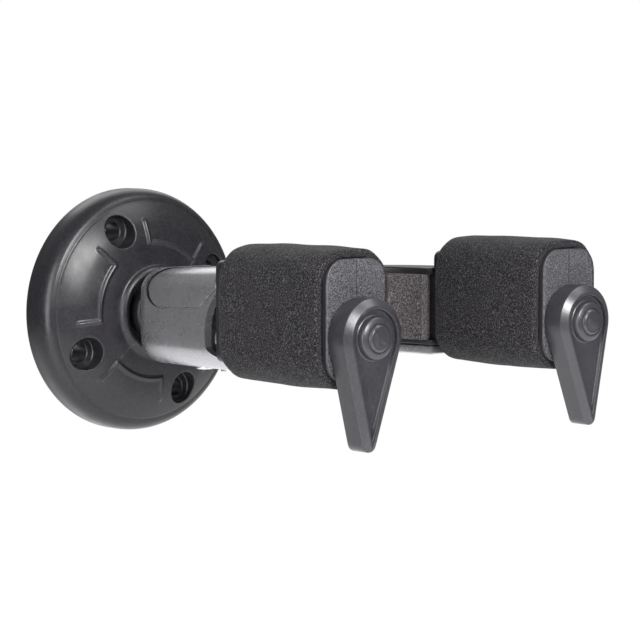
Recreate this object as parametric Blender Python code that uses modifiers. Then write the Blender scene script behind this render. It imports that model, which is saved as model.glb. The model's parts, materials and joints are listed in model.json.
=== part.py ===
# Wall guitar hanger: a round wall base, a swivelling knuckle with a flip-up lever, a panning
# yoke lined with foam, two padded arms, and a turning gate on the front of each arm.
# Frame: origin at the centre of the base's wall face, +X right, +Y into the wall, +Z up.
import math

import bmesh
import bpy
from mathutils import Matrix, Vector

GAP = 0.0003                    # clearance between touching pieces
SIDES = 28                      # facets round a turned piece
SMALL_SIDES = 12                # facets round a screw, pin or washer
CAP_SIDES = 24                  # facets round a gate's button
BASE_SIDES = 44                 # facets round the wall base
THROUGH = 0.03                  # how far a cutter runs past what it cuts
SPARE = 0.001                   # the same, where a neighbour is close
FRONT_END = 0.17                # a depth in front of everything

# wall base, depths measured out from the wall
BASE_RADIUS = 0.038
BASE_POCKET_RADIUS = 0.0333
BASE_POCKET_DEPTH = 0.0023
NUT_POCKET_RADIUS = 0.009
NUT_POCKET_DEPTH = 0.0105
COLLAR_FLOOR = 0.014            # floor of the recess inside the raised ring
BASE_FACE = [                   # front face from the recess out to the edge: radius, depth
    (0.0106, COLLAR_FLOOR), (0.0109, 0.0166), (0.0117, 0.0176), (0.0127, 0.0179), (0.0137, 0.0175),
    (0.0143, 0.0164), (0.0200, 0.0156), (0.0276, 0.0140), (0.0340, 0.0108), (0.0354, 0.0103),
    (0.0368, 0.0090), (0.0376, 0.0072), (BASE_RADIUS, 0.0050),
]
SCREW_CIRCLE = 0.0276
SCREW_PHASE = math.radians(25.75)
SCREW_COUNT = 4
SCREW_HOLE = 0.0028
COUNTERBORE = 0.0053
COUNTERBORE_FLOOR = 0.0095

# swivel spindle
SPINDLE_RADIUS = 0.0042
SPINDLE_BORE = SPINDLE_RADIUS + GAP
COLLAR_RADIUS = 0.009
SPINDLE_END = 0.004
SPINDLE_HEAD = 0.0056
SPINDLE_HEAD_DEPTH = 0.0017
SPINDLE_WASHER = 0.0084
SPINDLE_WASHER_REAR = 0.0092
SPINDLE_NUT = 0.0078
SPINDLE_NUT_FRONT = 0.0089
SPINDLE_NUT_REAR = 0.0049

# knuckle
KNUCKLE_HALF = 0.015
KNUCKLE_REAR = 0.0244
KNUCKLE_BOTTOM = -0.0145
KNUCKLE_TOP = 0.0146
KNUCKLE_ROUND = 0.0065
KNUCKLE_WALL = 0.0027
KNUCKLE_FLOOR = -0.0105
NOSE_RADIUS = 0.0114
NOSE_START = 0.0625
INNER_HALF = KNUCKLE_HALF - KNUCKLE_WALL
CAVITY_REAR = KNUCKLE_REAR + 0.0033
CAVITY_ROOF = 0.0032
LEVER_BAY_REAR = 0.0435         # in front of this the cavity is open to the lever
FLANGE_SEAT = KNUCKLE_REAR + 0.0036
FLANGE_WAY = 0.0060
FLANGE_WAY_DEPTH = 0.0033
MOUTH = [                       # side outline of the open front: Y, Z
    (-0.0672, THROUGH), (-0.0640, 0.0092), (-0.0609, 0.0050), (-0.0594, 0.0022), (-0.0586, -0.0014),
    (-0.0584, -0.0068), (-0.0588, -0.0079), (-0.0602, -0.0088), (-0.0643, KNUCKLE_FLOOR),
]

# black core inside the knuckle
CORE_REAR = KNUCKLE_REAR + 0.0057
CORE_FRONT = 0.0585
CORE_TOP = 0.0028
LUG_RADIUS = 0.0027
LUG_FOOT = (-0.0440, -0.0390)
LUG_FOOT_Z = 0.0020
LUG_INSET = 0.003
RISER_REAR = 0.0500
RISER_FRONT = 0.0560
RISER_TOP = 0.0080
LIP_BOTTOM = 0.0052
LIP_TOP = 0.0082
CORE_SCREW_DEPTHS = (0.040, 0.052)
CORE_SCREW_WAY = 0.0018
CORE_SCREW_WAY_TOP = -0.0030
CORE_SCREW_TOP = -0.0035
CORE_SCREW = 0.0015
CORE_SCREW_HEAD = 0.0028
CORE_SCREW_HEAD_DEPTH = 0.0014

# flip-up lever, on a pin across the knuckle
LEVER_PIVOT = Vector((0, -0.037, 0.0089))
LEVER_BARREL = 0.0057
LEVER_TILT = math.radians(3)
LEVER_PIN = 0.0018
LEVER_SLACK = 0.0004
LEVER_NOSE = 0.060              # lever sizes along its own length, from the pivot
LEVER_SKIRT = 0.0263
LEVER_SKIRT_FOOT = 0.0193
LEVER_SKIRT_Z = 0.0004
LEVER_SLANT = 0.4               # share of the seat clearance left along the slanted edge
LEVER_SKIN = 0.0025
LEVER_HOLLOW = 0.0032
LEVER_HOLLOW_FRONT = 0.0365
LEVER_PIN_REACH = INNER_HALF + 0.0018

# yoke, panning about an upright bolt
PAN_AXIS = 0.066
HUB_RADIUS = 0.0095
HUB_BOTTOM = -0.0089
HUB_TOP = 0.0036
PAN_BOLT = 0.003
YOKE_CENTRE = 0.1096
YOKE_INNER = 0.0275
YOKE_OUTER = 0.040
YOKE_BACK = 0.0318
YOKE_BOTTOM = -0.0062
YOKE_TOP = 0.0163
TRAY_BOTTOM = -0.0088
CUSHION_FACE = 0.0254
CUSHION_POCKET = 0.0292
POCKET_BOTTOM = -0.0048
POCKET_TOP = 0.0146
POCKET_PAST = 2                 # degrees the pocket runs past the half circle
CUSHION_SHORT = 3.5             # degrees the cushion stops short of it
NECK_HALF = 0.008
NECK_FRONT = 0.0815
FLANGE_X = (0.0315, 0.0494)
FLANGE_REAR = 0.1065
FLANGE_TOP = 0.021
HUB_SLACK = 0.0008
TRAY_SCREW_PLACES = ((0.0337, 0.1040), (0.0228, 0.0872))
SMALL_SCREW = 0.0014
SMALL_SCREW_WAY = 0.0017
SMALL_SCREW_HEAD = 0.0027
SMALL_SCREW_SINK = 0.0030
TRAY_SCREW_HEAD_DEPTH = 0.0013
TRAY_SINK_DEPTH = 0.0016
TRAY_SCREW_TOP = 0.005
TRAY_WAY_TOP = 0.006

# pan bolt stack
PAN_HEAD = 0.0048
PAN_HEAD_DEPTH = 0.0022
PAN_BOLT_TOP = 0.0118
PAN_WASHER = 0.0085
PAN_WASHER_TOP = 0.0049
PAN_NUT = 0.0055
PAN_NUT_BOTTOM = 0.0085
PAN_NUT_TOP = 0.0115

# arms, sleeves and gates
ARM_X = 0.0398
ARM_Z = 0.0074
ARM_REAR = 0.1099
ARM_FRONT = 0.1514
ARM_WIDTH = 0.0202
ARM_HEIGHT = 0.031
SLEEVE_WIDTH = 0.0252
SLEEVE_HEIGHT = 0.0365
SLEEVE_REAR = 0.1110
SLEEVE_FRONT = 0.1500
ARM_CORNER = 0.0056
ARM_SEAM = 0.00015              # half the gap between an arm's two halves
SLEEVE_CORNER = 0.008
SLEEVE_INNER_CORNER = 0.0059
ARM_BOLT_X = 0.0448
ARM_BOLT_HEIGHTS = (0.0000, 0.0150)
ARM_BOLT = 0.0019
ARM_BOLT_WAY = 0.0022
ARM_BOLT_HEAD = 0.0034
ARM_BOLT_HEAD_DEPTH = 0.0020
ARM_BOLT_SEAT = 0.1062
ARM_BOLT_END = 0.1160
ARM_BOLT_WAY_END = 0.1165
ARM_BOLT_WAY_REAR = 0.10
ARM_SCREW_PLACES = ((0.1185, 0.0165), (0.1420, 0.0165))
ARM_SCREW_SINK = 0.0022
ARM_SCREW_HEAD_DEPTH = 0.0015
ARM_SCREW_END = 0.0340
ARM_SCREW_WAY_END = 0.0332
AXLE_Z = 0.0031
AXLE_RADIUS = 0.003
AXLE_REAR = 0.1240
AXLE_HEAD = 0.0036
AXLE_HEAD_DEPTH = 0.0012
AXLE_SEAT = 0.1573
AXLE_WAY_REAR = 0.115
AXLE_NUT_POCKET = 0.0064
AXLE_NUT_POCKET_REAR = 0.118
AXLE_NUT_POCKET_FRONT = 0.132
WASHER_SEAT = 0.0066
WASHER_SEAT_REAR = 0.1501
GATE_WASHER = 0.0063
GATE_WASHER_REAR = 0.1504
GATE_WASHER_FRONT = 0.1514
SPRING_WASHER = 0.0058
SPRING_WASHER_REAR = 0.1308
SPRING_WASHER_FRONT = 0.1317
GATE_NUT = 0.0055
GATE_NUT_REAR = 0.1270
GATE_NUT_FRONT = 0.1305
GATE_REAR = 0.1517
GATE_RIDGE = 0.1574
GATE_RIM = 0.1587
GATE_CHAMFER = 0.0020         # how far the rim is set in from the ridge
GATE_HEAD = 0.0100
GATE_TIP = 0.0025
GATE_REACH = 0.0265
PANEL_HEAD = 0.00735
PANEL_TIP = 0.0003
PANEL_REACH = 0.0249
PANEL_DEPTH = 0.0009
BOSS_RADIUS = 0.0055
BOSS_REAR = 0.157
BOSS_FRONT = 0.1600
BORE_REAR = 0.15
HEAD_SEAT = 0.0039
CAP_REAR = 0.1588
CAP_PROFILE = [(0, 0.0018), (0.0022, 0.0017), (0.0031, 0.0014), (0.0036, 0.0008), (0.0036, 0), (0, 0)]
GATE_SPLAY = {-1: math.radians(2.4), 1: math.radians(5.0)}
SIDE_NAMES = {-1: "left", 1: "right"}

# a flat outline's own axes turned so that it is extruded along the named axis
TURN = {
    "x": Matrix(((0, 0, 1), (1, 0, 0), (0, 1, 0))).to_4x4(),
    "y": Matrix(((1, 0, 0), (0, 0, -1), (0, 1, 0))).to_4x4(),
    "z": Matrix.Identity(4),
}


def material(name, colour, metallic, roughness):
    made = bpy.data.materials.new(name)
    made.use_nodes = True
    shader = made.node_tree.nodes["Principled BSDF"]
    shader.inputs["Base Color"].default_value = (*colour, 1)
    shader.inputs["Metallic"].default_value = metallic
    shader.inputs["Roughness"].default_value = roughness
    made.diffuse_color = (*colour, 1)
    return made


def place(name, mesh, look, matrix=None):
    made = bpy.data.objects.new(name, mesh)
    if look is None:
        cutters.objects.link(made)
        made.hide_render = True
        made.display_type = "WIRE"
    else:
        parts.objects.link(made)
        mesh.materials.append(look)
    if matrix is not None:
        made.matrix_world = matrix
    return made


def mesh_from(builder, name):
    mesh = bpy.data.meshes.new(name)
    builder.to_mesh(mesh)
    builder.free()
    return mesh


def smooth(mesh, angle=35):
    mesh.shade_smooth()
    mesh.set_sharp_from_angle(angle=math.radians(angle))


def box(name, low, high, look=None):
    builder = bmesh.new()
    bmesh.ops.create_cube(builder, size=1)
    low, high = Vector(low), Vector(high)
    bmesh.ops.scale(builder, vec=high - low, verts=builder.verts)
    bmesh.ops.translate(builder, vec=(high + low) / 2, verts=builder.verts)
    return place(name, mesh_from(builder, name), look)


def rod(name, radius, start, end, look=None, sides=SMALL_SIDES):
    start, end = Vector(start), Vector(end)
    builder = bmesh.new()
    bmesh.ops.create_cone(builder, cap_ends=True, segments=sides, radius1=radius, radius2=radius,
                          depth=(end - start).length)
    mesh = mesh_from(builder, name)
    smooth(mesh)
    turn = (end - start).to_track_quat("Z", "Y").to_matrix().to_4x4()
    return place(name, mesh, look, Matrix.Translation((start + end) / 2) @ turn)


def turned(name, profile, matrix, look, closed=True, sides=SIDES):
    mesh = bpy.data.meshes.new(name)
    edges = [(i, i + 1) for i in range(len(profile) - 1)]
    if closed:
        edges.append((len(profile) - 1, 0))
    mesh.from_pydata([(radius, 0, height) for radius, height in profile], edges, [])
    made = place(name, mesh, look, matrix)
    screw = made.modifiers.new("turn", "SCREW")
    screw.steps = screw.render_steps = sides
    screw.use_merge_vertices = True
    screw.merge_threshold = 0.00001
    screw.use_smooth_shade = True
    return made


def slab(name, outlines, start, end, axis, look=None):
    curve = bpy.data.curves.new(name, "CURVE")
    curve.dimensions = "2D"
    curve.fill_mode = "BOTH"
    curve.extrude = abs(end - start) / 2
    for outline in outlines:
        spline = curve.splines.new("POLY")
        spline.points.add(len(outline) - 1)
        for point, (across, up) in zip(spline.points, outline):
            point.co = (across, up, 0, 1)
        spline.use_cyclic_u = True
    drawn = bpy.data.objects.new(name + ".outline", curve)
    cutters.objects.link(drawn)
    bpy.context.view_layer.update()
    evaluated = drawn.evaluated_get(bpy.context.evaluated_depsgraph_get())
    mesh = bpy.data.meshes.new_from_object(evaluated)
    bpy.data.objects.remove(drawn)
    builder = bmesh.new()
    builder.from_mesh(mesh)
    bmesh.ops.remove_doubles(builder, verts=builder.verts, dist=0.00001)
    bmesh.ops.dissolve_limit(builder, angle_limit=0.01, verts=builder.verts, edges=builder.edges)
    bmesh.ops.recalc_face_normals(builder, faces=builder.faces)
    builder.to_mesh(mesh)
    builder.free()
    smooth(mesh)
    middle = {"x": (1, 0, 0), "y": (0, 1, 0), "z": (0, 0, 1)}[axis]
    shift = Matrix.Translation(Vector(middle) * (start + end) / 2)
    return place(name, mesh, look, shift @ TURN[axis])


def combine(target, other, operation):
    step = target.modifiers.new(other.name, "BOOLEAN")
    step.operation = operation
    step.solver = "EXACT"
    step.object = other
    return target


def cut(target, *others):
    for other in others:
        combine(target, other, "DIFFERENCE")
    return target


def join(target, *others):
    for other in others:
        combine(target, other, "UNION")
    return target


def arc(centre, radius, start, end, steps):
    turn = [math.radians(start + (end - start) * i / steps) for i in range(steps + 1)]
    return [(centre[0] + radius * math.cos(a), centre[1] + radius * math.sin(a)) for a in turn]


def rounded_rectangle(centre, width, height, radius, steps=5):
    points = []
    corners = ((1, 1, 0), (-1, 1, 90), (-1, -1, 180), (1, -1, 270))
    for across, up, start in corners:
        middle = (centre[0] + across * (width / 2 - radius), centre[1] + up * (height / 2 - radius))
        points += arc(middle, radius, start, start + 90, steps)
    return points


def ring(name, inner, outer, start, end, look):
    start, end = Vector(start), Vector(end)
    made = rod(name, outer, start, end, look)
    spare = (end - start).normalized() * SPARE
    return cut(made, rod(name + ".bore", inner, start - spare, end + spare))


def hexagon(name, radius, bore, start, end, look):
    start, end = Vector(start), Vector(end)
    made = rod(name, radius, start, end, look, sides=6)
    made.data.shade_flat()
    spare = (end - start).normalized() * SPARE
    return cut(made, rod(name + ".bore", bore, start - spare, end + spare))


def headed(name, radius, head, head_depth, seat, end, look):
    seat, end = Vector(seat), Vector(end)
    out = (seat - end).normalized()
    length = (seat - end).length
    profile = [(0, length + head_depth), (head * 0.8, length + head_depth),
               (head, length + head_depth * 0.6), (head, length), (radius, length), (radius, 0), (0, 0)]
    turn = out.to_track_quat("Z", "Y").to_matrix().to_4x4()
    return turned(name, profile, Matrix.Translation(end) @ turn, look, closed=False, sides=SMALL_SIDES)


# ---- wall base: turned dish, steel back plate, collar ----
def build_base():
    from_wall = TURN["y"]
    profile = [(SPINDLE_BORE, COLLAR_FLOOR)] + BASE_FACE + [
        (BASE_RADIUS, 0), (BASE_POCKET_RADIUS, 0), (BASE_POCKET_RADIUS, BASE_POCKET_DEPTH),
        (NUT_POCKET_RADIUS, BASE_POCKET_DEPTH), (NUT_POCKET_RADIUS, NUT_POCKET_DEPTH),
        (SPINDLE_BORE, NUT_POCKET_DEPTH),
    ]
    base = turned("base_plate", profile, from_wall, looks["moulding"], sides=BASE_SIDES)
    plate_depth = BASE_POCKET_DEPTH - GAP
    plate = rod("back_plate", BASE_POCKET_RADIUS - GAP, (0, -plate_depth, 0), (0, 0, 0),
                looks["steel"], sides=BASE_SIDES)
    for i in range(SCREW_COUNT):
        angle = SCREW_PHASE + i * math.tau / SCREW_COUNT
        x, z = SCREW_CIRCLE * math.cos(angle), SCREW_CIRCLE * math.sin(angle)
        hole = rod(f"hole_{i}", SCREW_HOLE, (x, -THROUGH, z), (x, THROUGH, z))
        seat = rod(f"counterbore_{i}", COUNTERBORE, (x, -THROUGH, z), (x, -COUNTERBORE_FLOOR, z), sides=SIDES)
        cut(base, seat, hole)
        cut(plate, hole)
    ring("swivel_collar", SPINDLE_BORE, COLLAR_RADIUS, (0, -COLLAR_FLOOR - GAP, 0),
         (0, -KNUCKLE_REAR + GAP, 0), looks["nylon"])


# ---- spindle: flanged inside the knuckle, nut and washer in the base's rear pocket ----
def build_spindle():
    headed("spindle", SPINDLE_RADIUS, SPINDLE_HEAD, SPINDLE_HEAD_DEPTH, (0, -FLANGE_SEAT, 0),
           (0, -SPINDLE_END, 0), looks["steel"])
    ring("spindle_washer", SPINDLE_BORE, SPINDLE_WASHER, (0, -NUT_POCKET_DEPTH + GAP, 0),
         (0, -SPINDLE_WASHER_REAR, 0), looks["steel"])
    hexagon("spindle_nut", SPINDLE_NUT, SPINDLE_BORE, (0, -SPINDLE_NUT_FRONT, 0), (0, -SPINDLE_NUT_REAR, 0),
            looks["steel"])


# ---- knuckle: silver housing, black core and the flip-up lever ----
def lever_outline(grow):
    rear, low = LEVER_BARREL + grow, -LEVER_BARREL - grow
    points = arc((0, 0), rear, -90, 90, 14)
    slant = grow * LEVER_SLANT
    skirt = -LEVER_SKIRT_Z - grow
    points += [(-LEVER_NOSE, rear), (-LEVER_NOSE, skirt), (-LEVER_SKIRT - slant, skirt)]
    return points + [(-LEVER_SKIRT_FOOT - slant, low)]


def lever_prism(name, grow, half):
    made = slab(name, [lever_outline(grow)], -half, half, "x")
    turn = Matrix.Rotation(-LEVER_TILT, 4, "X")
    made.matrix_world = Matrix.Translation(LEVER_PIVOT) @ turn @ made.matrix_world
    return made


def knuckle_envelope(name, look, top):
    made = box(name, (-KNUCKLE_HALF, -0.095, KNUCKLE_BOTTOM), (KNUCKLE_HALF, -KNUCKLE_REAR, top), look)
    bevel = made.modifiers.new("round", "BEVEL")
    bevel.width = KNUCKLE_ROUND
    bevel.segments = 4
    smooth(made.data)
    return made


def nose_cutter(name):
    side = arc((0, -PAN_AXIS), NOSE_RADIUS, 0, -180, 16)
    half = KNUCKLE_HALF + SPARE
    rear = -KNUCKLE_REAR + SPARE
    outline = [(half, rear), (half, -NOSE_START)] + side + [(-half, -NOSE_START), (-half, rear)]
    return slab(name, [outline], -THROUGH, THROUGH, "z")


def build_housing():
    housing = knuckle_envelope("knuckle_housing", looks["silver"], KNUCKLE_TOP)
    combine(housing, nose_cutter("nose"), "INTERSECT")
    floor = (-INNER_HALF, -FRONT_END, KNUCKLE_FLOOR)
    cut(housing, box("cavity_low", floor, (INNER_HALF, -CAVITY_REAR, CAVITY_ROOF)))
    cut(housing, box("cavity_high", floor, (INNER_HALF, -LEVER_BAY_REAR, THROUGH)))
    cut(housing, lever_prism("lever_seat", LEVER_SLACK, THROUGH))
    mouth = [(-FRONT_END, THROUGH)] + MOUTH + [(-FRONT_END, KNUCKLE_FLOOR)]
    cut(housing, slab("mouth", [mouth], -THROUGH, THROUGH, "x"))
    cut(housing, rod("spindle_way", SPINDLE_BORE, (0, -LEVER_BAY_REAR, 0), (0, 0, 0)))
    cut(housing, rod("flange_way", FLANGE_WAY, (0, -CAVITY_REAR - FLANGE_WAY_DEPTH, 0), (0, -CAVITY_REAR, 0)))
    cut(housing, rod("pan_way", PAN_BOLT + GAP, (0, -PAN_AXIS, -THROUGH), (0, -PAN_AXIS, 0)))
    for i, depth in enumerate(CORE_SCREW_DEPTHS):
        way = rod(f"core_screw_way_{i}", CORE_SCREW_WAY, (0, -depth, -THROUGH), (0, -depth, CORE_SCREW_WAY_TOP))
        cut(housing, way)


def build_core():
    half = INNER_HALF - GAP
    core = box("knuckle_core", (-half, -CORE_FRONT, KNUCKLE_FLOOR + GAP), (half, -CORE_REAR, CORE_TOP),
               looks["nylon"])
    pivot = (LEVER_PIVOT.y, LEVER_PIVOT.z)
    lug = arc(pivot, LUG_RADIUS, -35, 205, 12) + [(y, LUG_FOOT_Z) for y in LUG_FOOT]
    join(core, slab("core_lug", [lug], -half + LUG_INSET, half - LUG_INSET, "x"))
    join(core, box("core_riser", (-HUB_RADIUS, -RISER_FRONT, 0), (HUB_RADIUS, -RISER_REAR, RISER_TOP)))
    lip = arc((0, -PAN_AXIS), HUB_RADIUS, 0, -180, 16) + [(-HUB_RADIUS, -RISER_REAR), (HUB_RADIUS, -RISER_REAR)]
    join(core, slab("core_lip", [lip], LIP_BOTTOM, LIP_TOP, "z"))
    cut(core, rod("hub_way", HUB_RADIUS + HUB_SLACK, (0, -PAN_AXIS, -THROUGH), (0, -PAN_AXIS, LIP_BOTTOM),
                  sides=SIDES))
    cut(core, rod("lip_way", PAN_BOLT + GAP, (0, -PAN_AXIS, 0), (0, -PAN_AXIS, THROUGH)))
    across = Vector((THROUGH, 0, 0))
    cut(core, rod("core_pin_way", LEVER_PIN + GAP, LEVER_PIVOT - across, LEVER_PIVOT + across))
    for i, depth in enumerate(CORE_SCREW_DEPTHS):
        cut(core, rod(f"core_way_{i}", CORE_SCREW_WAY, (0, -depth, -THROUGH), (0, -depth, CORE_SCREW_WAY_TOP)))
        headed(f"core_screw_{i + 1}", CORE_SCREW, CORE_SCREW_HEAD, CORE_SCREW_HEAD_DEPTH,
               (0, -depth, KNUCKLE_BOTTOM - GAP), (0, -depth, CORE_SCREW_TOP), looks["steel"])


def build_lever():
    lever = knuckle_envelope("lock_lever", looks["silver"], KNUCKLE_TOP)
    turn = Matrix.Rotation(-LEVER_TILT, 4, "X")
    lever.matrix_world = Matrix.Translation(LEVER_PIVOT) @ turn @ Matrix.Translation(-LEVER_PIVOT)
    combine(lever, lever_prism("lever_body", 0, THROUGH), "INTERSECT")
    combine(lever, nose_cutter("lever_nose"), "INTERSECT")
    hollow = arc((0, 0), LEVER_BARREL - LEVER_SKIN, -10, 90, 8)
    hollow += [(-LEVER_HOLLOW_FRONT, LEVER_HOLLOW), (-LEVER_HOLLOW_FRONT, -THROUGH), (LEVER_HOLLOW, -THROUGH)]
    inside = slab("lever_hollow", [hollow], -INNER_HALF, INNER_HALF, "x")
    inside.matrix_world = Matrix.Translation(LEVER_PIVOT) @ turn @ inside.matrix_world
    cut(lever, inside)
    reach = Vector((LEVER_PIN_REACH, 0, 0))
    start, end = LEVER_PIVOT - reach, LEVER_PIVOT + reach
    cut(lever, rod("lever_pin_way", LEVER_PIN + GAP, start, end))
    short = Vector((GAP, 0, 0))
    rod("lever_pin", LEVER_PIN, start + short, end - short, looks["steel"])


# ---- yoke: panning frame, underside tray, foam lining, pan bolt stack ----
def yoke_outline():
    outer = [(YOKE_OUTER * math.cos(a), -YOKE_CENTRE + YOKE_BACK * math.sin(a))
             for a in (math.pi * i / 36 for i in range(37))]
    return outer + arc((0, -YOKE_CENTRE), YOKE_INNER, 180, 0, 30)


def build_yoke():
    yoke = slab("yoke_frame", [yoke_outline()], YOKE_BOTTOM, YOKE_TOP, "z", looks["moulding"])
    join(yoke, box("yoke_neck", (-NECK_HALF, -NECK_FRONT, YOKE_BOTTOM), (NECK_HALF, -PAN_AXIS, HUB_TOP)))
    join(yoke, rod("yoke_hub", HUB_RADIUS, (0, -PAN_AXIS, HUB_BOTTOM), (0, -PAN_AXIS, HUB_TOP), sides=SIDES))
    tray = slab("yoke_tray", [yoke_outline()], TRAY_BOTTOM, YOKE_BOTTOM - GAP, "z", looks["silver"])
    for side in (-1, 1):
        name = SIDE_NAMES[side]
        near, far = sorted(side * x for x in FLANGE_X)
        flange = box(f"{name}_flange", (near, -YOKE_CENTRE, YOKE_BOTTOM), (far, -FLANGE_REAR, FLANGE_TOP))
        join(yoke, flange)
        for i, (out, y) in enumerate(TRAY_SCREW_PLACES):
            x, seat = side * out, TRAY_BOTTOM + TRAY_SCREW_HEAD_DEPTH
            shaft = rod(f"{name}_tray_way_{i}", SMALL_SCREW_WAY, (x, -y, -THROUGH), (x, -y, TRAY_WAY_TOP))
            sink = rod(f"{name}_tray_sink_{i}", SMALL_SCREW_SINK, (x, -y, -THROUGH),
                       (x, -y, TRAY_BOTTOM + TRAY_SINK_DEPTH))
            cut(yoke, shaft)
            cut(tray, shaft, sink)
            headed(f"{name}_tray_screw_{i + 1}", SMALL_SCREW, SMALL_SCREW_HEAD, TRAY_SCREW_HEAD_DEPTH,
                   (x, -y, seat), (x, -y, TRAY_SCREW_TOP), looks["steel"])
        bolt_x = side * ARM_BOLT_X
        for z in ARM_BOLT_HEIGHTS:
            cut(yoke, rod(f"{name}_bolt_way", ARM_BOLT_WAY, (bolt_x, -FRONT_END, z), (bolt_x, -ARM_BOLT_WAY_REAR, z)))
    cut(yoke, rod("hub_bore", PAN_BOLT + GAP, (0, -PAN_AXIS, -THROUGH), (0, -PAN_AXIS, THROUGH)))
    centre, skin = (0, -YOKE_CENTRE), CUSHION_POCKET - GAP
    start, end = -POCKET_PAST, 180 + POCKET_PAST
    pocket = arc(centre, CUSHION_POCKET, start, end, 30) + arc(centre, CUSHION_FACE, end, start, 30)
    cut(yoke, slab("cushion_pocket", [pocket], POCKET_BOTTOM, POCKET_TOP, "z"))
    start, end = CUSHION_SHORT, 180 - CUSHION_SHORT
    lining = arc(centre, skin, start, end, 30) + arc(centre, CUSHION_FACE, end, start, 30)
    slab("neck_cushion", [lining], POCKET_BOTTOM + GAP, POCKET_TOP - GAP, "z", looks["foam"])


def build_pan_stack():
    x, y, bore = 0, -PAN_AXIS, PAN_BOLT + GAP
    headed("pan_bolt", PAN_BOLT, PAN_HEAD, PAN_HEAD_DEPTH, (x, y, KNUCKLE_BOTTOM - GAP), (x, y, PAN_BOLT_TOP),
           looks["steel"])
    ring("pan_washer_low", bore, PAN_WASHER, (x, y, KNUCKLE_FLOOR + GAP), (x, y, HUB_BOTTOM - GAP), looks["nylon"])
    ring("pan_washer_high", bore, PAN_WASHER, (x, y, HUB_TOP + GAP), (x, y, PAN_WASHER_TOP), looks["nylon"])
    hexagon("pan_nut", PAN_NUT, bore, (x, y, PAN_NUT_BOTTOM), (x, y, PAN_NUT_TOP), looks["steel"])


# ---- one arm: two core halves, foam sleeve, bolts and screws ----
def half_core(side, facing):
    width, height, radius = ARM_WIDTH / 2, ARM_HEIGHT / 2, ARM_CORNER
    corner = width - radius
    points = [(ARM_SEAM, -height), (corner, -height)]
    points += arc((corner, -height + radius), radius, -90, 0, 5)[1:]
    points += arc((corner, height - radius), radius, 0, 90, 5) + [(ARM_SEAM, height)]
    return [(side * ARM_X + facing * x, ARM_Z + z) for x, z in points]


def build_arm(side):
    name, x = SIDE_NAMES[side], side * ARM_X
    halves = []
    for label, facing in (("outer", side), ("inner", -side)):
        outline = half_core(side, facing)
        halves.append(slab(f"{name}_arm_{label}", [outline], -ARM_REAR, -ARM_FRONT, "y", looks["moulding"]))
    front = (x, -FRONT_END, AXLE_Z)
    axle_way = rod(f"{name}_axle_way", AXLE_RADIUS + GAP, front, (x, -AXLE_WAY_REAR, AXLE_Z))
    nut_pocket = rod(f"{name}_nut_pocket", AXLE_NUT_POCKET, (x, -AXLE_NUT_POCKET_FRONT, AXLE_Z),
                     (x, -AXLE_NUT_POCKET_REAR, AXLE_Z))
    washer_seat = rod(f"{name}_washer_seat", WASHER_SEAT, front, (x, -WASHER_SEAT_REAR, AXLE_Z))
    for half in halves:
        cut(half, axle_way, nut_pocket, washer_seat)
    face = side * (ARM_X + ARM_WIDTH / 2)
    outside, seat = face + side * SPARE, face - side * ARM_SCREW_SINK
    for i, (y, z) in enumerate(ARM_SCREW_PLACES):
        way = rod(f"{name}_screw_way_{i}", SMALL_SCREW_WAY, (outside, -y, z), (side * ARM_SCREW_WAY_END, -y, z))
        sink = rod(f"{name}_screw_seat_{i}", SMALL_SCREW_SINK, (outside, -y, z), (seat, -y, z))
        cut(halves[0], way, sink)
        cut(halves[1], way)
        headed(f"{name}_arm_screw_{i + 1}", SMALL_SCREW, SMALL_SCREW_HEAD, ARM_SCREW_HEAD_DEPTH,
               (seat + side * GAP, -y, z), (side * ARM_SCREW_END, -y, z), looks["steel"])
    bolt_x = side * ARM_BOLT_X
    for i, z in enumerate(ARM_BOLT_HEIGHTS):
        cut(halves[0], rod(f"{name}_arm_bolt_way_{i}", ARM_BOLT_WAY, (bolt_x, -ARM_BOLT_WAY_END, z),
                           (bolt_x, -ARM_BOLT_WAY_REAR, z)))
        headed(f"{name}_arm_bolt_{i + 1}", ARM_BOLT, ARM_BOLT_HEAD, ARM_BOLT_HEAD_DEPTH,
               (bolt_x, -ARM_BOLT_SEAT, z), (bolt_x, -ARM_BOLT_END, z), looks["steel"])
    centre = (x, ARM_Z)
    foam = [rounded_rectangle(centre, SLEEVE_WIDTH, SLEEVE_HEIGHT, SLEEVE_CORNER),
            rounded_rectangle(centre, ARM_WIDTH + 2 * GAP, ARM_HEIGHT + 2 * GAP, SLEEVE_INNER_CORNER)]
    slab(f"{name}_foam_sleeve", foam, -SLEEVE_REAR, -SLEEVE_FRONT, "y", looks["foam"])


# ---- gate: teardrop with a chamfered rim, sunk face and a ring round its button ----
def teardrop(head, tip, reach):
    lean = math.degrees(math.asin((head - tip) / reach))
    return arc((0, 0), head, -lean, 180 + lean, 24) + arc((0, -reach), tip, 180 + lean, 360 - lean, 8)


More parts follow.
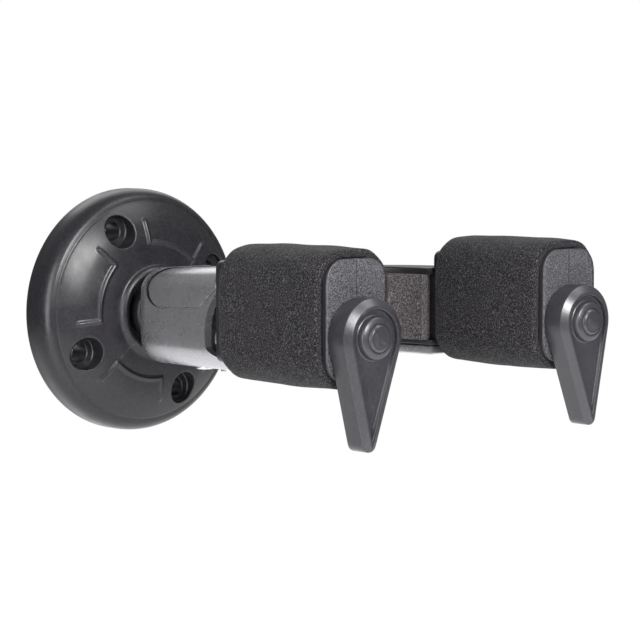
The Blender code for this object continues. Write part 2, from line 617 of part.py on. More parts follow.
def build_gate(side):
    name, pivot = SIDE_NAMES[side], Vector((side * ARM_X, 0, AXLE_Z))
    hang = Matrix.Translation(pivot) @ Matrix.Rotation(-side * GATE_SPLAY[side], 4, "Y")
    gate = slab(f"{name}_gate", [teardrop(GATE_HEAD, GATE_TIP, GATE_REACH)], -GATE_REAR, -GATE_RIDGE, "y",
                looks["gate"])
    builder = bmesh.new()
    builder.from_mesh(gate.data)
    front = max(builder.faces, key=lambda face: face.calc_center_median().z)
    bmesh.ops.inset_region(builder, faces=[front], thickness=GATE_CHAMFER, depth=GATE_RIM - GATE_RIDGE,
                           use_even_offset=True)
    builder.to_mesh(gate.data)
    builder.free()
    gate.matrix_world = hang @ gate.matrix_world
    floor = -GATE_RIM + PANEL_DEPTH
    panel = slab(f"{name}_panel", [teardrop(PANEL_HEAD, PANEL_TIP, PANEL_REACH)], floor, -FRONT_END, "y")
    panel.matrix_world = hang @ panel.matrix_world
    cut(gate, panel)
    x, z = pivot.x, pivot.z
    front, bore = (x, -FRONT_END, z), AXLE_RADIUS + GAP
    join(gate, rod(f"{name}_boss", BOSS_RADIUS, (x, -BOSS_REAR, z), (x, -BOSS_FRONT, z), sides=SIDES))
    cut(gate, rod(f"{name}_gate_bore", bore, front, (x, -BORE_REAR, z)))
    cut(gate, rod(f"{name}_head_seat", HEAD_SEAT, front, (x, -BOSS_REAR, z), sides=CAP_SIDES))
    headed(f"{name}_gate_axle", AXLE_RADIUS, AXLE_HEAD, AXLE_HEAD_DEPTH, (x, -AXLE_SEAT, z), (x, -AXLE_REAR, z),
           looks["steel"])
    turned(f"{name}_gate_cap", CAP_PROFILE, Matrix.Translation((x, -CAP_REAR, z)) @ TURN["y"], looks["gate"],
           closed=False, sides=CAP_SIDES)
    ring(f"{name}_gate_washer", bore, GATE_WASHER, (x, -GATE_WASHER_REAR, z), (x, -GATE_WASHER_FRONT, z),
         looks["nylon"])
    ring(f"{name}_spring_washer", bore, SPRING_WASHER, (x, -SPRING_WASHER_REAR, z), (x, -SPRING_WASHER_FRONT, z),
         looks["steel"])
    hexagon(f"{name}_gate_nut", GATE_NUT, bore, (x, -GATE_NUT_REAR, z), (x, -GATE_NUT_FRONT, z), looks["steel"])


for old in list(bpy.data.objects):
    bpy.data.objects.remove(old, do_unlink=True)

parts = bpy.data.collections.new("wall_guitar_hanger")
cutters = bpy.data.collections.new("cutters")
for collection in (parts, cutters):
    bpy.context.scene.collection.children.link(collection)

looks = {
    "moulding": material("black moulding", (0.020, 0.022, 0.027), 0.0, 0.42),
    "gate": material("gate black", (0.014, 0.015, 0.018), 0.0, 0.38),
    "nylon": material("black nylon", (0.012, 0.012, 0.013), 0.0, 0.5),
    "silver": material("satin silver", (0.62, 0.62, 0.63), 1.0, 0.34),
    "steel": material("zinc steel", (0.55, 0.56, 0.58), 1.0, 0.38),
    "foam": material("dense foam", (0.030, 0.027, 0.026), 0.0, 0.95),
}

build_base()
build_spindle()
build_housing()
build_core()
build_lever()
build_yoke()
build_pan_stack()
for side in (-1, 1):
    build_arm(side)
    build_gate(side)
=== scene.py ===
import json
import math
import bmesh
import bpy
import numpy as np
from mathutils import Matrix, Vector


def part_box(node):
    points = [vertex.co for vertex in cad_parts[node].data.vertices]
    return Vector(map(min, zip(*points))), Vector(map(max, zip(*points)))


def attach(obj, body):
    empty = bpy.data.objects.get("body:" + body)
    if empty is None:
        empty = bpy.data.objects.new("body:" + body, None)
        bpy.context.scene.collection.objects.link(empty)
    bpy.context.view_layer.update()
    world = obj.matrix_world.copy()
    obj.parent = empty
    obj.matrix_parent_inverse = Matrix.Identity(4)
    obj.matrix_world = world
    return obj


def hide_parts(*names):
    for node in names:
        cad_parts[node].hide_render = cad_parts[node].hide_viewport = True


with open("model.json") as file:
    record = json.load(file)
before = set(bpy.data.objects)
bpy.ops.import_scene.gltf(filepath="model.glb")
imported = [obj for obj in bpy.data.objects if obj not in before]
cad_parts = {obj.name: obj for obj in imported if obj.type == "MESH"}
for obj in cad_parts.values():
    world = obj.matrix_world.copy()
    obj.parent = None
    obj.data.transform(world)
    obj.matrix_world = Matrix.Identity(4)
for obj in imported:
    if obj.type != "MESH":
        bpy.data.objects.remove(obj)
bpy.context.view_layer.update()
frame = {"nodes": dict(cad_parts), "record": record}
scene = bpy.context.scene
mm = 0.001
print("frame loaded:", len(frame["nodes"]), "nodes")


# ---------- surfaces worked out as whole arrays ----------

def softPath(corners, setbacks, steps=6, closed=True):
    # a straight-sided path whose corners are cut back and bridged by quadratic curves:
    # point(t) = (1-t)^2 * before + 2t(1-t) * corner + t^2 * after
    corners = np.array(corners, float)
    before = np.roll(corners, 1, axis=0) - corners
    after = np.roll(corners, -1, axis=0) - corners
    setbacks = np.broadcast_to(np.array(setbacks, float), len(corners)).reshape(-1, 1)
    lengthBefore = np.linalg.norm(before, axis=1, keepdims=True)
    lengthAfter = np.linalg.norm(after, axis=1, keepdims=True)
    start = corners + before / lengthBefore * np.minimum(setbacks, lengthBefore * 0.49)
    end = corners + after / lengthAfter * np.minimum(setbacks, lengthAfter * 0.49)
    if not closed:
        start[0] = end[0] = corners[0]
        start[-1] = end[-1] = corners[-1]
    t = np.linspace(0, 1, steps + 1).reshape(1, -1, 1)
    curves = (1 - t) ** 2 * start[:, None] + 2 * t * (1 - t) * corners[:, None] + t ** 2 * end[:, None]
    points = curves.reshape(-1, 2)
    keep = np.linalg.norm(points - np.roll(points, 1, axis=0), axis=1) > 1e-7
    return points[keep]


def throughPoints(knots, steps=8):
    # Catmull-Rom: between two knots the curve is the cubic whose end slopes are half the
    # distance between each knot's neighbours
    knots = np.array(knots, float)
    padded = np.vstack([2 * knots[0] - knots[1], knots, 2 * knots[-1] - knots[-2]])
    a, b, c, d = padded[:-3, None], padded[1:-2, None], padded[2:-1, None], padded[3:, None]
    t = np.linspace(0, 1, steps, endpoint=False).reshape(1, -1, 1)
    curve = 0.5 * (2 * b + (c - a) * t + (2 * a - 5 * b + 4 * c - d) * t ** 2
                   + (3 * b - a - 3 * c + d) * t ** 3)
    return np.vstack([curve.reshape(-1, knots.shape[1]), knots[-1:]])


def evenSteps(path, spacing, closed=True):
    # the same path, with extra points so that no step is longer than the spacing
    following = np.roll(path, -1, axis=0)
    counts = np.maximum(1, np.ceil(np.linalg.norm(following - path, axis=1) / spacing).astype(int))
    if not closed:
        counts[-1] = 1
    pieces = [a + (b - a) * np.arange(n).reshape(-1, 1) / n for a, b, n in zip(path, following, counts)]
    return np.vstack(pieces)


def outward(loop):
    # unit normals of a closed anticlockwise loop: the tangent turned a quarter turn clockwise
    along = np.roll(loop, -1, axis=0) - np.roll(loop, 1, axis=0)
    along /= np.linalg.norm(along, axis=1, keepdims=True)
    return np.stack([along[:, 1], -along[:, 0]], axis=1)


def roundedBox(halfWidth, halfHeight, radius, centre=(0, 0), steps=10, spacing=2 * mm):
    # four quarter circles joined by straight sides, anticlockwise
    turn = np.linspace(0, math.pi / 2, steps + 1)
    quarter = np.stack([np.cos(turn), np.sin(turn)], axis=1) * radius
    parts = []
    for k, (right, up) in enumerate(((1, 1), (-1, 1), (-1, -1), (1, -1))):
        angle = k * math.pi / 2
        spin = np.array([[math.cos(angle), math.sin(angle)], [-math.sin(angle), math.cos(angle)]])
        middle = np.array([right * (halfWidth - radius), up * (halfHeight - radius)])
        parts.append(quarter @ spin + middle)
    return evenSteps(np.vstack(parts) + np.array(centre), spacing)


def gridMesh(name, points, acrossClosed=True, alongClosed=False, caps=False):
    # points[i, j] is the surface; each four neighbours make one face, and coincident points merge
    rows, columns = points.shape[:2]
    index = np.arange(rows * columns).reshape(rows, columns)
    if alongClosed:
        index = np.vstack([index, index[:1]])
    if acrossClosed:
        index = np.hstack([index, index[:, :1]])
    corners = [index[:-1, :-1], index[1:, :-1], index[1:, 1:], index[:-1, 1:]]
    faces = np.stack(corners, axis=-1).reshape(-1, 4).tolist()
    if caps:
        faces += [index[0, :columns].tolist(), index[-1, :columns].tolist()]
    mesh = bpy.data.meshes.new(name)
    mesh.from_pydata(points.reshape(-1, 3).tolist(), [], faces)
    builder = bmesh.new()
    builder.from_mesh(mesh)
    bmesh.ops.remove_doubles(builder, verts=builder.verts, dist=1e-6)
    bmesh.ops.recalc_face_normals(builder, faces=builder.faces)
    builder.to_mesh(mesh)
    builder.free()
    return mesh


def turnedGrid(profile, steps, axisPoint=(0, 0, 0), axis="-y"):
    # profile (radius, height) carried round an axis: (radius cos a, radius sin a, height)
    angle = np.linspace(0, math.tau, steps, endpoint=False)
    radius, height = profile[:, :1], profile[:, 1:2]
    a, b = radius * np.cos(angle), radius * np.sin(angle)
    return np.array(axisPoint) + onAxis(a, b, height + 0 * a, axis)


def onAxis(a, b, c, axis):
    # lays two flat coordinates and a height out along the named axis
    if axis == "-y":
        return np.stack([a, -c, b], axis=-1)
    if axis == "x":
        return np.stack([c, a, b], axis=-1)
    return np.stack([a, b, c], axis=-1)


def edgedGrid(loop, stations, axis):
    # a closed loop carried along an axis; each station is (offset along the loop's normal, height)
    normal = outward(loop)
    stations = np.array(stations, float)
    ring = loop[None] + normal[None] * stations[:, 0].reshape(-1, 1, 1)
    height = np.broadcast_to(stations[:, 1].reshape(-1, 1), ring.shape[:2])
    return onAxis(ring[..., 0], ring[..., 1], height, axis)


def filletStations(low, high, radius, steps=5):
    # heights from low to high with a quarter-circle fillet at each end: offset = radius (cos a - 1)
    angle = np.linspace(math.pi / 2, 0, steps + 1)
    offset, rise = radius * (np.cos(angle) - 1), radius * (1 - np.sin(angle))
    lower = np.stack([offset, low + rise], axis=1)
    upper = np.stack([offset[::-1], high - rise[::-1]], axis=1)
    return np.vstack([lower, upper])


# ---------- finishing a piece ----------

def addObject(name, mesh):
    made = bpy.data.objects.new(name, mesh)
    scene.collection.objects.link(made)
    return made


def smoothShade(mesh, degrees=32):
    mesh.shade_smooth()
    mesh.set_sharp_from_angle(angle=math.radians(degrees))


def finishPiece(made, body, material, nodes, degrees=32):
    made.data.materials.clear()
    made.data.materials.append(material)
    smoothShade(made.data, degrees)
    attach(made, body)
    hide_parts(*nodes)


def applyBoolean(made, other, operation="DIFFERENCE"):
    step = made.modifiers.new("join", "BOOLEAN")
    step.operation = operation
    step.solver = "EXACT"
    step.object = other
    applyModifiers(made)
    bpy.data.objects.remove(other)


def applyModifiers(made):
    bpy.context.view_layer.update()
    shaped = made.evaluated_get(bpy.context.evaluated_depsgraph_get())
    mesh = bpy.data.meshes.new_from_object(shaped)
    made.modifiers.clear()
    made.data = mesh


def softenEdges(made, width, segments=2, degrees=35):
    bevel = made.modifiers.new("soften", "BEVEL")
    bevel.width = width
    bevel.segments = segments
    bevel.limit_method = "ANGLE"
    bevel.angle_limit = math.radians(degrees)
    applyModifiers(made)


# ---------- materials ----------

def startMaterial(name, colour, roughness, metallic=0.0):
    material = bpy.data.materials.new(name)
    material.use_nodes = True
    nodes, links = material.node_tree.nodes, material.node_tree.links
    shader = nodes["Principled BSDF"]
    shader.inputs["Base Color"].default_value = (*colour, 1)
    shader.inputs["Roughness"].default_value = roughness
    shader.inputs["Metallic"].default_value = metallic
    place = nodes.new("ShaderNodeTexCoord").outputs["Object"]
    return material, nodes, links, shader, place


def noiseOf(nodes, links, place, scale, detail=3.0, stretch=(1, 1, 1)):
    mapping = nodes.new("ShaderNodeMapping")
    mapping.inputs["Scale"].default_value = stretch
    links.new(place, mapping.inputs["Vector"])
    noise = nodes.new("ShaderNodeTexNoise")
    noise.inputs["Scale"].default_value = scale
    noise.inputs["Detail"].default_value = detail
    links.new(mapping.outputs["Vector"], noise.inputs["Vector"])
    return noise.outputs["Fac"]


def rangeOf(nodes, links, value, low, high, fromLow=0.3, fromHigh=0.7):
    ranged = nodes.new("ShaderNodeMapRange")
    ranged.inputs["From Min"].default_value = fromLow
    ranged.inputs["From Max"].default_value = fromHigh
    ranged.inputs["To Min"].default_value = low
    ranged.inputs["To Max"].default_value = high
    links.new(value, ranged.inputs["Value"])
    return ranged.outputs["Result"]


def blendOf(nodes, links, value, dark, pale):
    mix = nodes.new("ShaderNodeMix")
    mix.data_type = "RGBA"
    mix.inputs[6].default_value = (*dark, 1)
    mix.inputs[7].default_value = (*pale, 1)
    links.new(value, mix.inputs["Factor"])
    return mix.outputs[2]


def bumpOf(nodes, links, height, depth, strength, under=None):
    bump = nodes.new("ShaderNodeBump")
    bump.inputs["Distance"].default_value = depth
    bump.inputs["Strength"].default_value = strength
    links.new(height, bump.inputs["Height"])
    if under is not None:
        links.new(under, bump.inputs["Normal"])
    return bump.outputs["Normal"]


mouldingLook = {
    "dark": (0.0040, 0.0036, 0.0048), "pale": (0.0068, 0.0062, 0.0080),
    "wear": (0.045, 0.043, 0.050), "roughness": (0.31, 0.40),
    "grainScale": 2600, "grainDepth": 0.02 * mm, "grainStrength": 0.15,
    "fleck": (0.012, 0.0112, 0.0135), "fleckScale": 1500, "fleckRange": (0.42, 0.72), "paintedSideShade": False,
    "gloss": 0.27, "cloudScale": 55, "scuffScale": 900, "patchScale": 170, "edgeRange": (0.53, 0.62),
    "scuffRange": (0.35, 0.65),
}


def mouldedBlack(name, look):
    # fine grain in relief, cloudy roughness, and worn edges where the surface is most convex
    material, nodes, links, shader, place = startMaterial(name, look["dark"], 0.4)
    shader.inputs["IOR"].default_value = 1.5
    shader.inputs["Specular IOR Level"].default_value = look["gloss"]
    cloud = noiseOf(nodes, links, place, look["cloudScale"], 4)
    tint = blendOf(nodes, links, rangeOf(nodes, links, cloud, 0, 1), look["dark"], look["pale"])
    flecks = nodes.new("ShaderNodeMix")
    flecks.data_type = "RGBA"
    flecks.inputs[7].default_value = (*look["fleck"], 1)
    fine = noiseOf(nodes, links, place, look["fleckScale"], 2)
    speckle = rangeOf(nodes, links, fine, 0, 1, *look["fleckRange"])
    # painted shade: where set, the pale flecks fade out as the object-space normal turns away from -Y, so the
    # sides come out darker than the front
    if look["paintedSideShade"]:
        split = nodes.new("ShaderNodeSeparateXYZ")
        links.new(nodes.new("ShaderNodeTexCoord").outputs["Normal"], split.inputs[0])
        front = nodes.new("ShaderNodeMath")
        front.operation = "MULTIPLY"
        links.new(rangeOf(nodes, links, split.outputs["Y"], 1, 0, -0.97, -0.75), front.inputs[0])
        links.new(speckle, front.inputs[1])
        speckle = front.outputs[0]
    links.new(speckle, flecks.inputs["Factor"])
    links.new(tint, flecks.inputs[6])
    tint = flecks.outputs[2]
    geometry = nodes.new("ShaderNodeNewGeometry")
    edge = rangeOf(nodes, links, geometry.outputs["Pointiness"], 0, 0.5, *look["edgeRange"])
    scuff = noiseOf(nodes, links, place, look["scuffScale"], 4)
    worn = nodes.new("ShaderNodeMath")
    worn.operation = "MULTIPLY"
    links.new(edge, worn.inputs[0])
    links.new(rangeOf(nodes, links, scuff, 0, 1, *look["scuffRange"]), worn.inputs[1])
    mix = nodes.new("ShaderNodeMix")
    mix.data_type = "RGBA"
    mix.inputs[7].default_value = (*look["wear"], 1)
    links.new(worn.outputs[0], mix.inputs["Factor"])
    links.new(tint, mix.inputs[6])
    links.new(mix.outputs[2], shader.inputs["Base Color"])
    patches = noiseOf(nodes, links, place, look["patchScale"], 3)
    links.new(rangeOf(nodes, links, patches, *look["roughness"]), shader.inputs["Roughness"])
    grain = noiseOf(nodes, links, place, look["grainScale"], 2)
    normal = bumpOf(nodes, links, grain, look["grainDepth"], look["grainStrength"])
    links.new(normal, shader.inputs["Normal"])
    return material


silverLook = {
    "dark": (0.315, 0.312, 0.328), "pale": (0.345, 0.342, 0.358), "roughness": (0.25, 0.31),
    "brushScale": 900, "brushDepth": 0.004 * mm, "brushStrength": 0.1, "brushStretch": (4, 0.15, 4),
    "peelScale": 420, "peelDepth": 0.006 * mm, "peelStrength": 0.06, "cloudScale": 90, "patchScale": 260,
}


def satinSilver(look):
    # silver paint over metal: faint lengthwise lines and cloudy roughness
    material, nodes, links, shader, place = startMaterial("satinSilver", look["dark"], 0.28, 0.9)
    cloud = noiseOf(nodes, links, place, look["cloudScale"], 4)
    tint = blendOf(nodes, links, rangeOf(nodes, links, cloud, 0, 1), look["dark"], look["pale"])
    links.new(tint, shader.inputs["Base Color"])
    patches = noiseOf(nodes, links, place, look["patchScale"], 4)
    links.new(rangeOf(nodes, links, patches, *look["roughness"]), shader.inputs["Roughness"])
    lines = noiseOf(nodes, links, place, look["brushScale"], 2, look["brushStretch"])
    peel = noiseOf(nodes, links, place, look["peelScale"], 2)
    normal = bumpOf(nodes, links, lines, look["brushDepth"], look["brushStrength"])
    normal = bumpOf(nodes, links, peel, look["peelDepth"], look["peelStrength"], normal)
    links.new(normal, shader.inputs["Normal"])
    return material


steelLook = {
    "dark": (0.42, 0.42, 0.43), "pale": (0.60, 0.60, 0.60), "roughness": (0.28, 0.46),
    "spangleScale": 420, "patchScale": 500, "scratchScale": 1800, "scratchDepth": 0.006 * mm,
}


def zincSteel(look):
    # zinc plating: spangled patches and fine scratches
    material, nodes, links, shader, place = startMaterial("zincSteel", look["dark"], 0.35, 1.0)
    spangle = nodes.new("ShaderNodeTexVoronoi")
    spangle.inputs["Scale"].default_value = look["spangleScale"]
    links.new(place, spangle.inputs["Vector"])
    tint = blendOf(nodes, links, rangeOf(nodes, links, spangle.outputs["Distance"], 0, 1, 0.1, 0.8),
                   look["pale"], look["dark"])
    links.new(tint, shader.inputs["Base Color"])
    patches = noiseOf(nodes, links, place, look["patchScale"], 5)
    links.new(rangeOf(nodes, links, patches, *look["roughness"]), shader.inputs["Roughness"])
    scratches = noiseOf(nodes, links, place, look["scratchScale"], 2, (1, 1, 0.08))
    links.new(bumpOf(nodes, links, scratches, look["scratchDepth"], 0.3), shader.inputs["Normal"])
    return material


foamLook = {
    "dark": (0.0015, 0.0013, 0.0016), "middle": (0.0105, 0.0097, 0.011), "pale": (0.070, 0.066, 0.071),
    "cellScale": 3600, "cellDepth": 0.16 * mm, "gloss": 0.12,
}


def denseFoam(name, look):
    # open cells: the colour is painted specks, dark ones for the shade in the cell pits and pale ones for
    # highlights where cell walls catch the light; the cells themselves are in relief
    material, nodes, links, shader, place = startMaterial(name, look["middle"], 0.92)
    shader.inputs["Specular IOR Level"].default_value = look["gloss"]
    shader.inputs["Sheen Weight"].default_value = 0.03
    shader.inputs["Sheen Roughness"].default_value = 0.5
    warp = noiseOf(nodes, links, place, 1500, 3)
    cells = nodes.new("ShaderNodeTexVoronoi")
    cells.inputs["Scale"].default_value = look["cellScale"]
    links.new(place, cells.inputs["Vector"])
    walls = rangeOf(nodes, links, cells.outputs["Distance"], 0, 1, 0.05, 0.75)
    speck = noiseOf(nodes, links, place, look["cellScale"] * 0.8, 2)
    # painted shade and highlight: dark, middle and pale specks set by a noise
    ramp = nodes.new("ShaderNodeValToRGB")
    ramp.color_ramp.elements[0].position = 0.36
    ramp.color_ramp.elements[0].color = (*look["dark"], 1)
    ramp.color_ramp.elements[1].position = 0.74
    ramp.color_ramp.elements[1].color = (*look["pale"], 1)
    middle = ramp.color_ramp.elements.new(0.53)
    middle.color = (*look["middle"], 1)
    links.new(speck, ramp.inputs["Fac"])
    links.new(ramp.outputs["Color"], shader.inputs["Base Color"])
    normal = bumpOf(nodes, links, walls, look["cellDepth"], 0.55)
    normal = bumpOf(nodes, links, warp, look["cellDepth"] * 0.8, 0.6, normal)
    links.new(normal, shader.inputs["Normal"])
    return material


moulding = mouldedBlack("blackMoulding", mouldingLook)
gateLook = {
    **mouldingLook, "dark": (0.0125, 0.0120, 0.0145), "pale": (0.0175, 0.0168, 0.0195),
    "wear": (0.070, 0.068, 0.075), "fleck": (0.022, 0.0212, 0.025),
    "roughness": (0.30, 0.38), "grainStrength": 0.08, "gloss": 0.42,
}
# the grained core: its sides carry painted shade, because their pale flecks are left out
coreLook = {
    **gateLook, "dark": (0.006, 0.0058, 0.0068), "pale": (0.011, 0.0105, 0.0125),
    "fleck": (0.105, 0.103, 0.113), "fleckScale": 3000, "fleckRange": (0.40, 0.74), "paintedSideShade": True,
    "gloss": 0.3, "grainScale": 2700, "grainStrength": 0.8, "grainDepth": 0.06 * mm,
    "roughness": (0.38, 0.48),
}
# painted light: the neck cushion's foam is a paler copy of the sleeve foam, standing in for the light from the
# left that the near sleeve keeps off it
cushionLightenedLook = {
    "dark": (0.012, 0.011, 0.011), "middle": (0.046, 0.041, 0.044), "pale": (0.115, 0.105, 0.108),
    "cellScale": 3000, "cellDepth": 0.12 * mm, "gloss": 0.15,
}
gateBlack = mouldedBlack("gateBlack", gateLook)
coreBlack = mouldedBlack("grainedBlack", coreLook)
nylon = mouldedBlack("blackNylon", {**mouldingLook, "roughness": (0.45, 0.55), "grainStrength": 0.12})
silver = satinSilver(silverLook)
steel = zincSteel(steelLook)
foam = denseFoam("denseFoam", foamLook)
cushionFoamLightened = denseFoam("cushionFoamLightened", cushionLightenedLook)
slotMaterials = {"black_moulding": moulding, "gate_black": gateBlack, "black_nylon": nylon,
                 "satin_silver": silver, "zinc_steel": steel, "foam": foam}
for part in frame["record"]["subparts"]:
    node = frame["nodes"][part["node"]]
    node.data.materials.clear()
    node.data.materials.append(slotMaterials[part["material_slot"]])
print("materials ready")


# ---------- wall base ----------

baseShape = {
    "turnSteps": 540, "screwCircle": 27.6 * mm, "screwPhase": 25.75, "ribMiddle": 70.75,
    "ribRadius": 21.3 * mm, "ribEnd": 28.2 * mm, "ribHalfSpan": 24.9, "ribHalfWidth": 0.95 * mm,
    "ribHeight": 0.6 * mm, "recess": 5.0 * mm, "recessFloor": 9.5 * mm, "hole": 2.8 * mm,
}
dishKnots = [(37.62, 0), (38.0, 0.45), (38.0, 2.5), (38.0, 5.0), (37.72, 7.0), (36.95, 8.75), (35.8, 9.95),
             (34.85, 10.4), (34.2, 10.62), (33.5, 11.1), (31.0, 12.45), (27.6, 13.95), (24.0, 14.95),
             (20.0, 15.62), (17.0, 16.05), (15.3, 16.25), (14.4, 16.5), (13.8, 17.2), (12.8, 17.75),
             (11.8, 17.5), (11.1, 16.6), (10.85, 15.2), (10.5, 14.3), (9.8, 14.0), (9.3, 14.0)]


def dishHeight(radius):
    # depth of the dish from the wall, read along its own turned profile
    curve = throughPoints(np.array(dishKnots[8:16]) * mm)
    return np.interp(radius, curve[::-1, 0], curve[::-1, 1])


def ribRelief(x, z, shape):
    # distance to a bracket of one arc and two outward legs, turned into a rounded ridge:
    # height * (1 - (distance / halfWidth)^2)^2
    radius = np.hypot(x, z)
    angle = (np.degrees(np.arctan2(z, x)) - shape["ribMiddle"] + 45) % 90 - 45
    span = math.radians(shape["ribHalfSpan"])
    a = np.radians(np.abs(angle))
    px, py = radius * np.cos(a), radius * np.sin(a)
    inner, outer = shape["ribRadius"], shape["ribEnd"]
    toArc = np.where(a < span, np.abs(radius - inner),
                     np.hypot(px - inner * math.cos(span), py - inner * math.sin(span)))
    along = np.clip(px * math.cos(span) + py * math.sin(span), inner, outer)
    toLeg = np.hypot(px - along * math.cos(span), py - along * math.sin(span))
    near = np.minimum(toArc, toLeg) / shape["ribHalfWidth"]
    return shape["ribHeight"] * np.clip(1 - near ** 2, 0, 1) ** 2


def recessCutter(name, x, z, shape):
    # a stepped hole turned about an axis along Y; above the floor its heights follow the dish,
    # so the mouth gets an even fillet
    angle = np.linspace(0, math.tau, 48, endpoint=False)
    fillet = np.linspace(0, math.pi / 2, 6)
    mouth, soft = shape["recess"], 0.4 * mm
    hole, floor, rear = shape["hole"], shape["recessFloor"], -4 * mm
    plain = [(0.0001 * mm, rear), (hole, rear), (hole, floor - 0.25 * mm), (hole + 0.25 * mm, floor),
             (mouth - 0.3 * mm, floor), (mouth, floor + 0.3 * mm)]
    radius = np.array([p[0] for p in plain] + list(mouth + soft * (1 - np.cos(fillet)))
                      + [mouth + soft + 0.05 * mm, 0.0001 * mm])
    across, up = x + radius[:, None] * np.cos(angle), z + radius[:, None] * np.sin(angle)
    surface = dishHeight(np.hypot(across, up))
    height = np.empty_like(across)
    height[:6] = np.array([p[1] for p in plain])[:, None]
    height[6:12] = surface[6:12] - (soft * (1 - np.sin(fillet)))[:, None]
    height[12:] = 20 * mm
    height[12] = surface[12] + 0.1 * mm
    return addObject(name, gridMesh(name, onAxis(across, up, height, "-y")))


def makeBase():
    shape = baseShape
    outer = throughPoints(np.array(dishKnots) * mm, 5)
    dish = evenSteps(outer, 0.42 * mm, closed=False)
    inside = np.array([(4.5, 14.0), (4.5, 10.5), (9.0, 10.5), (9.0, 2.3), (33.3, 2.3), (33.3, 0.35),
                       (33.65, 0.0)]) * mm
    profile = np.vstack([dish, inside])
    grid = turnedGrid(profile, shape["turnSteps"])
    relief = ribRelief(grid[..., 0], grid[..., 2], shape)
    relief[len(dish):] = 0
    grid[..., 1] -= relief
    base = addObject("wallBase", gridMesh("wallBase", grid, alongClosed=True))
    for k in range(4):
        angle = math.radians(shape["screwPhase"] + 90 * k)
        x, z = shape["screwCircle"] * math.cos(angle), shape["screwCircle"] * math.sin(angle)
        applyBoolean(base, recessCutter(f"recess{k}", x, z, shape))
    finishPiece(base, "base", moulding, ["base_plate"], 40)


makeBase()
print("wall base made")


# ---------- swivel collar ----------

def makeCollar():
    # turned from (radius, distance from the wall)
    profile = softPath(np.array([(4.5, 14.3), (9.0, 14.3), (9.0, 17.8), (8.3, 18.6), (8.3, 19.8), (9.0, 20.6),
                                 (9.0, 24.1), (4.5, 24.1)]) * mm, 0.35 * mm, 4)
    collar = addObject("swivelCollar", gridMesh("swivelCollar", turnedGrid(profile, 96), alongClosed=True))
    finishPiece(collar, "base", nylon, ["swivel_collar"], 40)


makeCollar()
print("collar made")


# ---------- silver knuckle and lever ----------

knuckleShape = {
    "half": 15 * mm, "rear": 24.8 * mm, "bottom": -14.5 * mm, "top": 14.6 * mm, "round": 6.5 * mm,
    "rearRound": (3.2 * mm, 5.5 * mm, 6.0 * mm), "crown": 0.05, "panAxis": 66 * mm, "noseClear": 11.2 * mm,
    "noseStart": 60.0 * mm, "noseEnd": 77.4 * mm, "wall": 2.7 * mm, "floor": -10.5 * mm, "softEdge": 0.18 * mm,
    "pivot": (37.0 * mm, 8.9 * mm), "barrel": 5.7 * mm, "tilt": 3.0,
    "noseFrom": 3.5 * mm, "nosePower": 2.4, "cavityRear": 3.3 * mm, "cavityRoof": 3.2 * mm,
    "leverBay": 43.5 * mm, "seatGap": 0.16 * mm, "slit": 1.3 * mm, "slitReach": 1.9 * mm,
    "mouthRound": 1.6 * mm, "spindleWay": 4.5 * mm, "flangeWay": 6.0 * mm,
    "panWay": 3.3 * mm, "screwWay": 1.8 * mm, "screwsOut": (40 * mm, 52 * mm), "screwWayTop": 3 * mm,
    "noseReach": 45 * mm, "skirtStart": 26.3 * mm, "skirtFoot": 19.3 * mm, "skirtDrop": 0.4 * mm, "slant": 0.4,
    "skin": 2.5 * mm, "hollowFront": 36.5 * mm, "hollowRear": 3.2 * mm, "hollowDrop": 20 * mm,
    "pinWay": 2.1 * mm, "pinReach": 1.53 * mm,
}
past = 0.03                     # how far a cutter runs past the piece
farFront = -0.12                # in front of the knuckle
sharp = 0.02 * mm               # corner setback of a plain cutter

mouthOutline = [(120, 20), (67.2, 20), (64.0, 9.2), (60.9, 5.0), (59.3, 2.2), (58.6, -1.4), (58.4, -7.6),
                (60.4, -9.1), (64.3, -10.5), (120, -10.5)]


def knuckleEnvelope(name, shape):
    # a rounded box section with slightly crowned sides, carried along the knuckle: the rear end
    # shrinks by a quarter ellipse, and the nose narrows by (1 - reach^power)^(1/power)
    halfHeight = (shape["top"] - shape["bottom"]) / 2
    middle = (shape["top"] + shape["bottom"]) / 2
    sideRound, lengthRound, heightRound = shape["rearRound"]
    angle = np.linspace(0, math.pi / 2, 13)
    rear = np.stack([np.sin(angle) - 1, -shape["rear"] - lengthRound * (1 - np.cos(angle))], axis=1)
    straight = np.linspace(-shape["rear"] - lengthRound, -shape["noseStart"], 15)[1:]
    body = np.stack([np.zeros(len(straight)), straight], axis=1)
    reach = np.sin(np.linspace(0, math.pi / 2, 34))[1:]
    nose = -shape["noseStart"] - (shape["noseEnd"] - shape["noseStart"]) * reach
    narrow = (1 - reach ** shape["nosePower"]) ** (1 / shape["nosePower"])
    loop = roundedBox(shape["half"], halfHeight, shape["round"], steps=12, spacing=1.2 * mm)
    loop[:, 0] *= 1 - shape["crown"] * (loop[:, 1] / halfHeight) ** 2
    stations = np.vstack([rear, body, np.stack([np.zeros(len(nose)), nose], axis=1)])
    ring = loop[None] + outward(loop)[None] * stations[:, 0].reshape(-1, 1, 1) * [sideRound, heightRound]
    squeeze = np.concatenate([np.ones(len(rear) + len(body)), np.maximum(narrow, 1e-4)])
    across = ring[..., 0] * squeeze[:, None]
    along = np.broadcast_to(stations[:, 1].reshape(-1, 1), across.shape)
    points = np.stack([across, along, ring[..., 1] + middle], axis=-1)
    return addObject(name, gridMesh(name, points, caps=True))


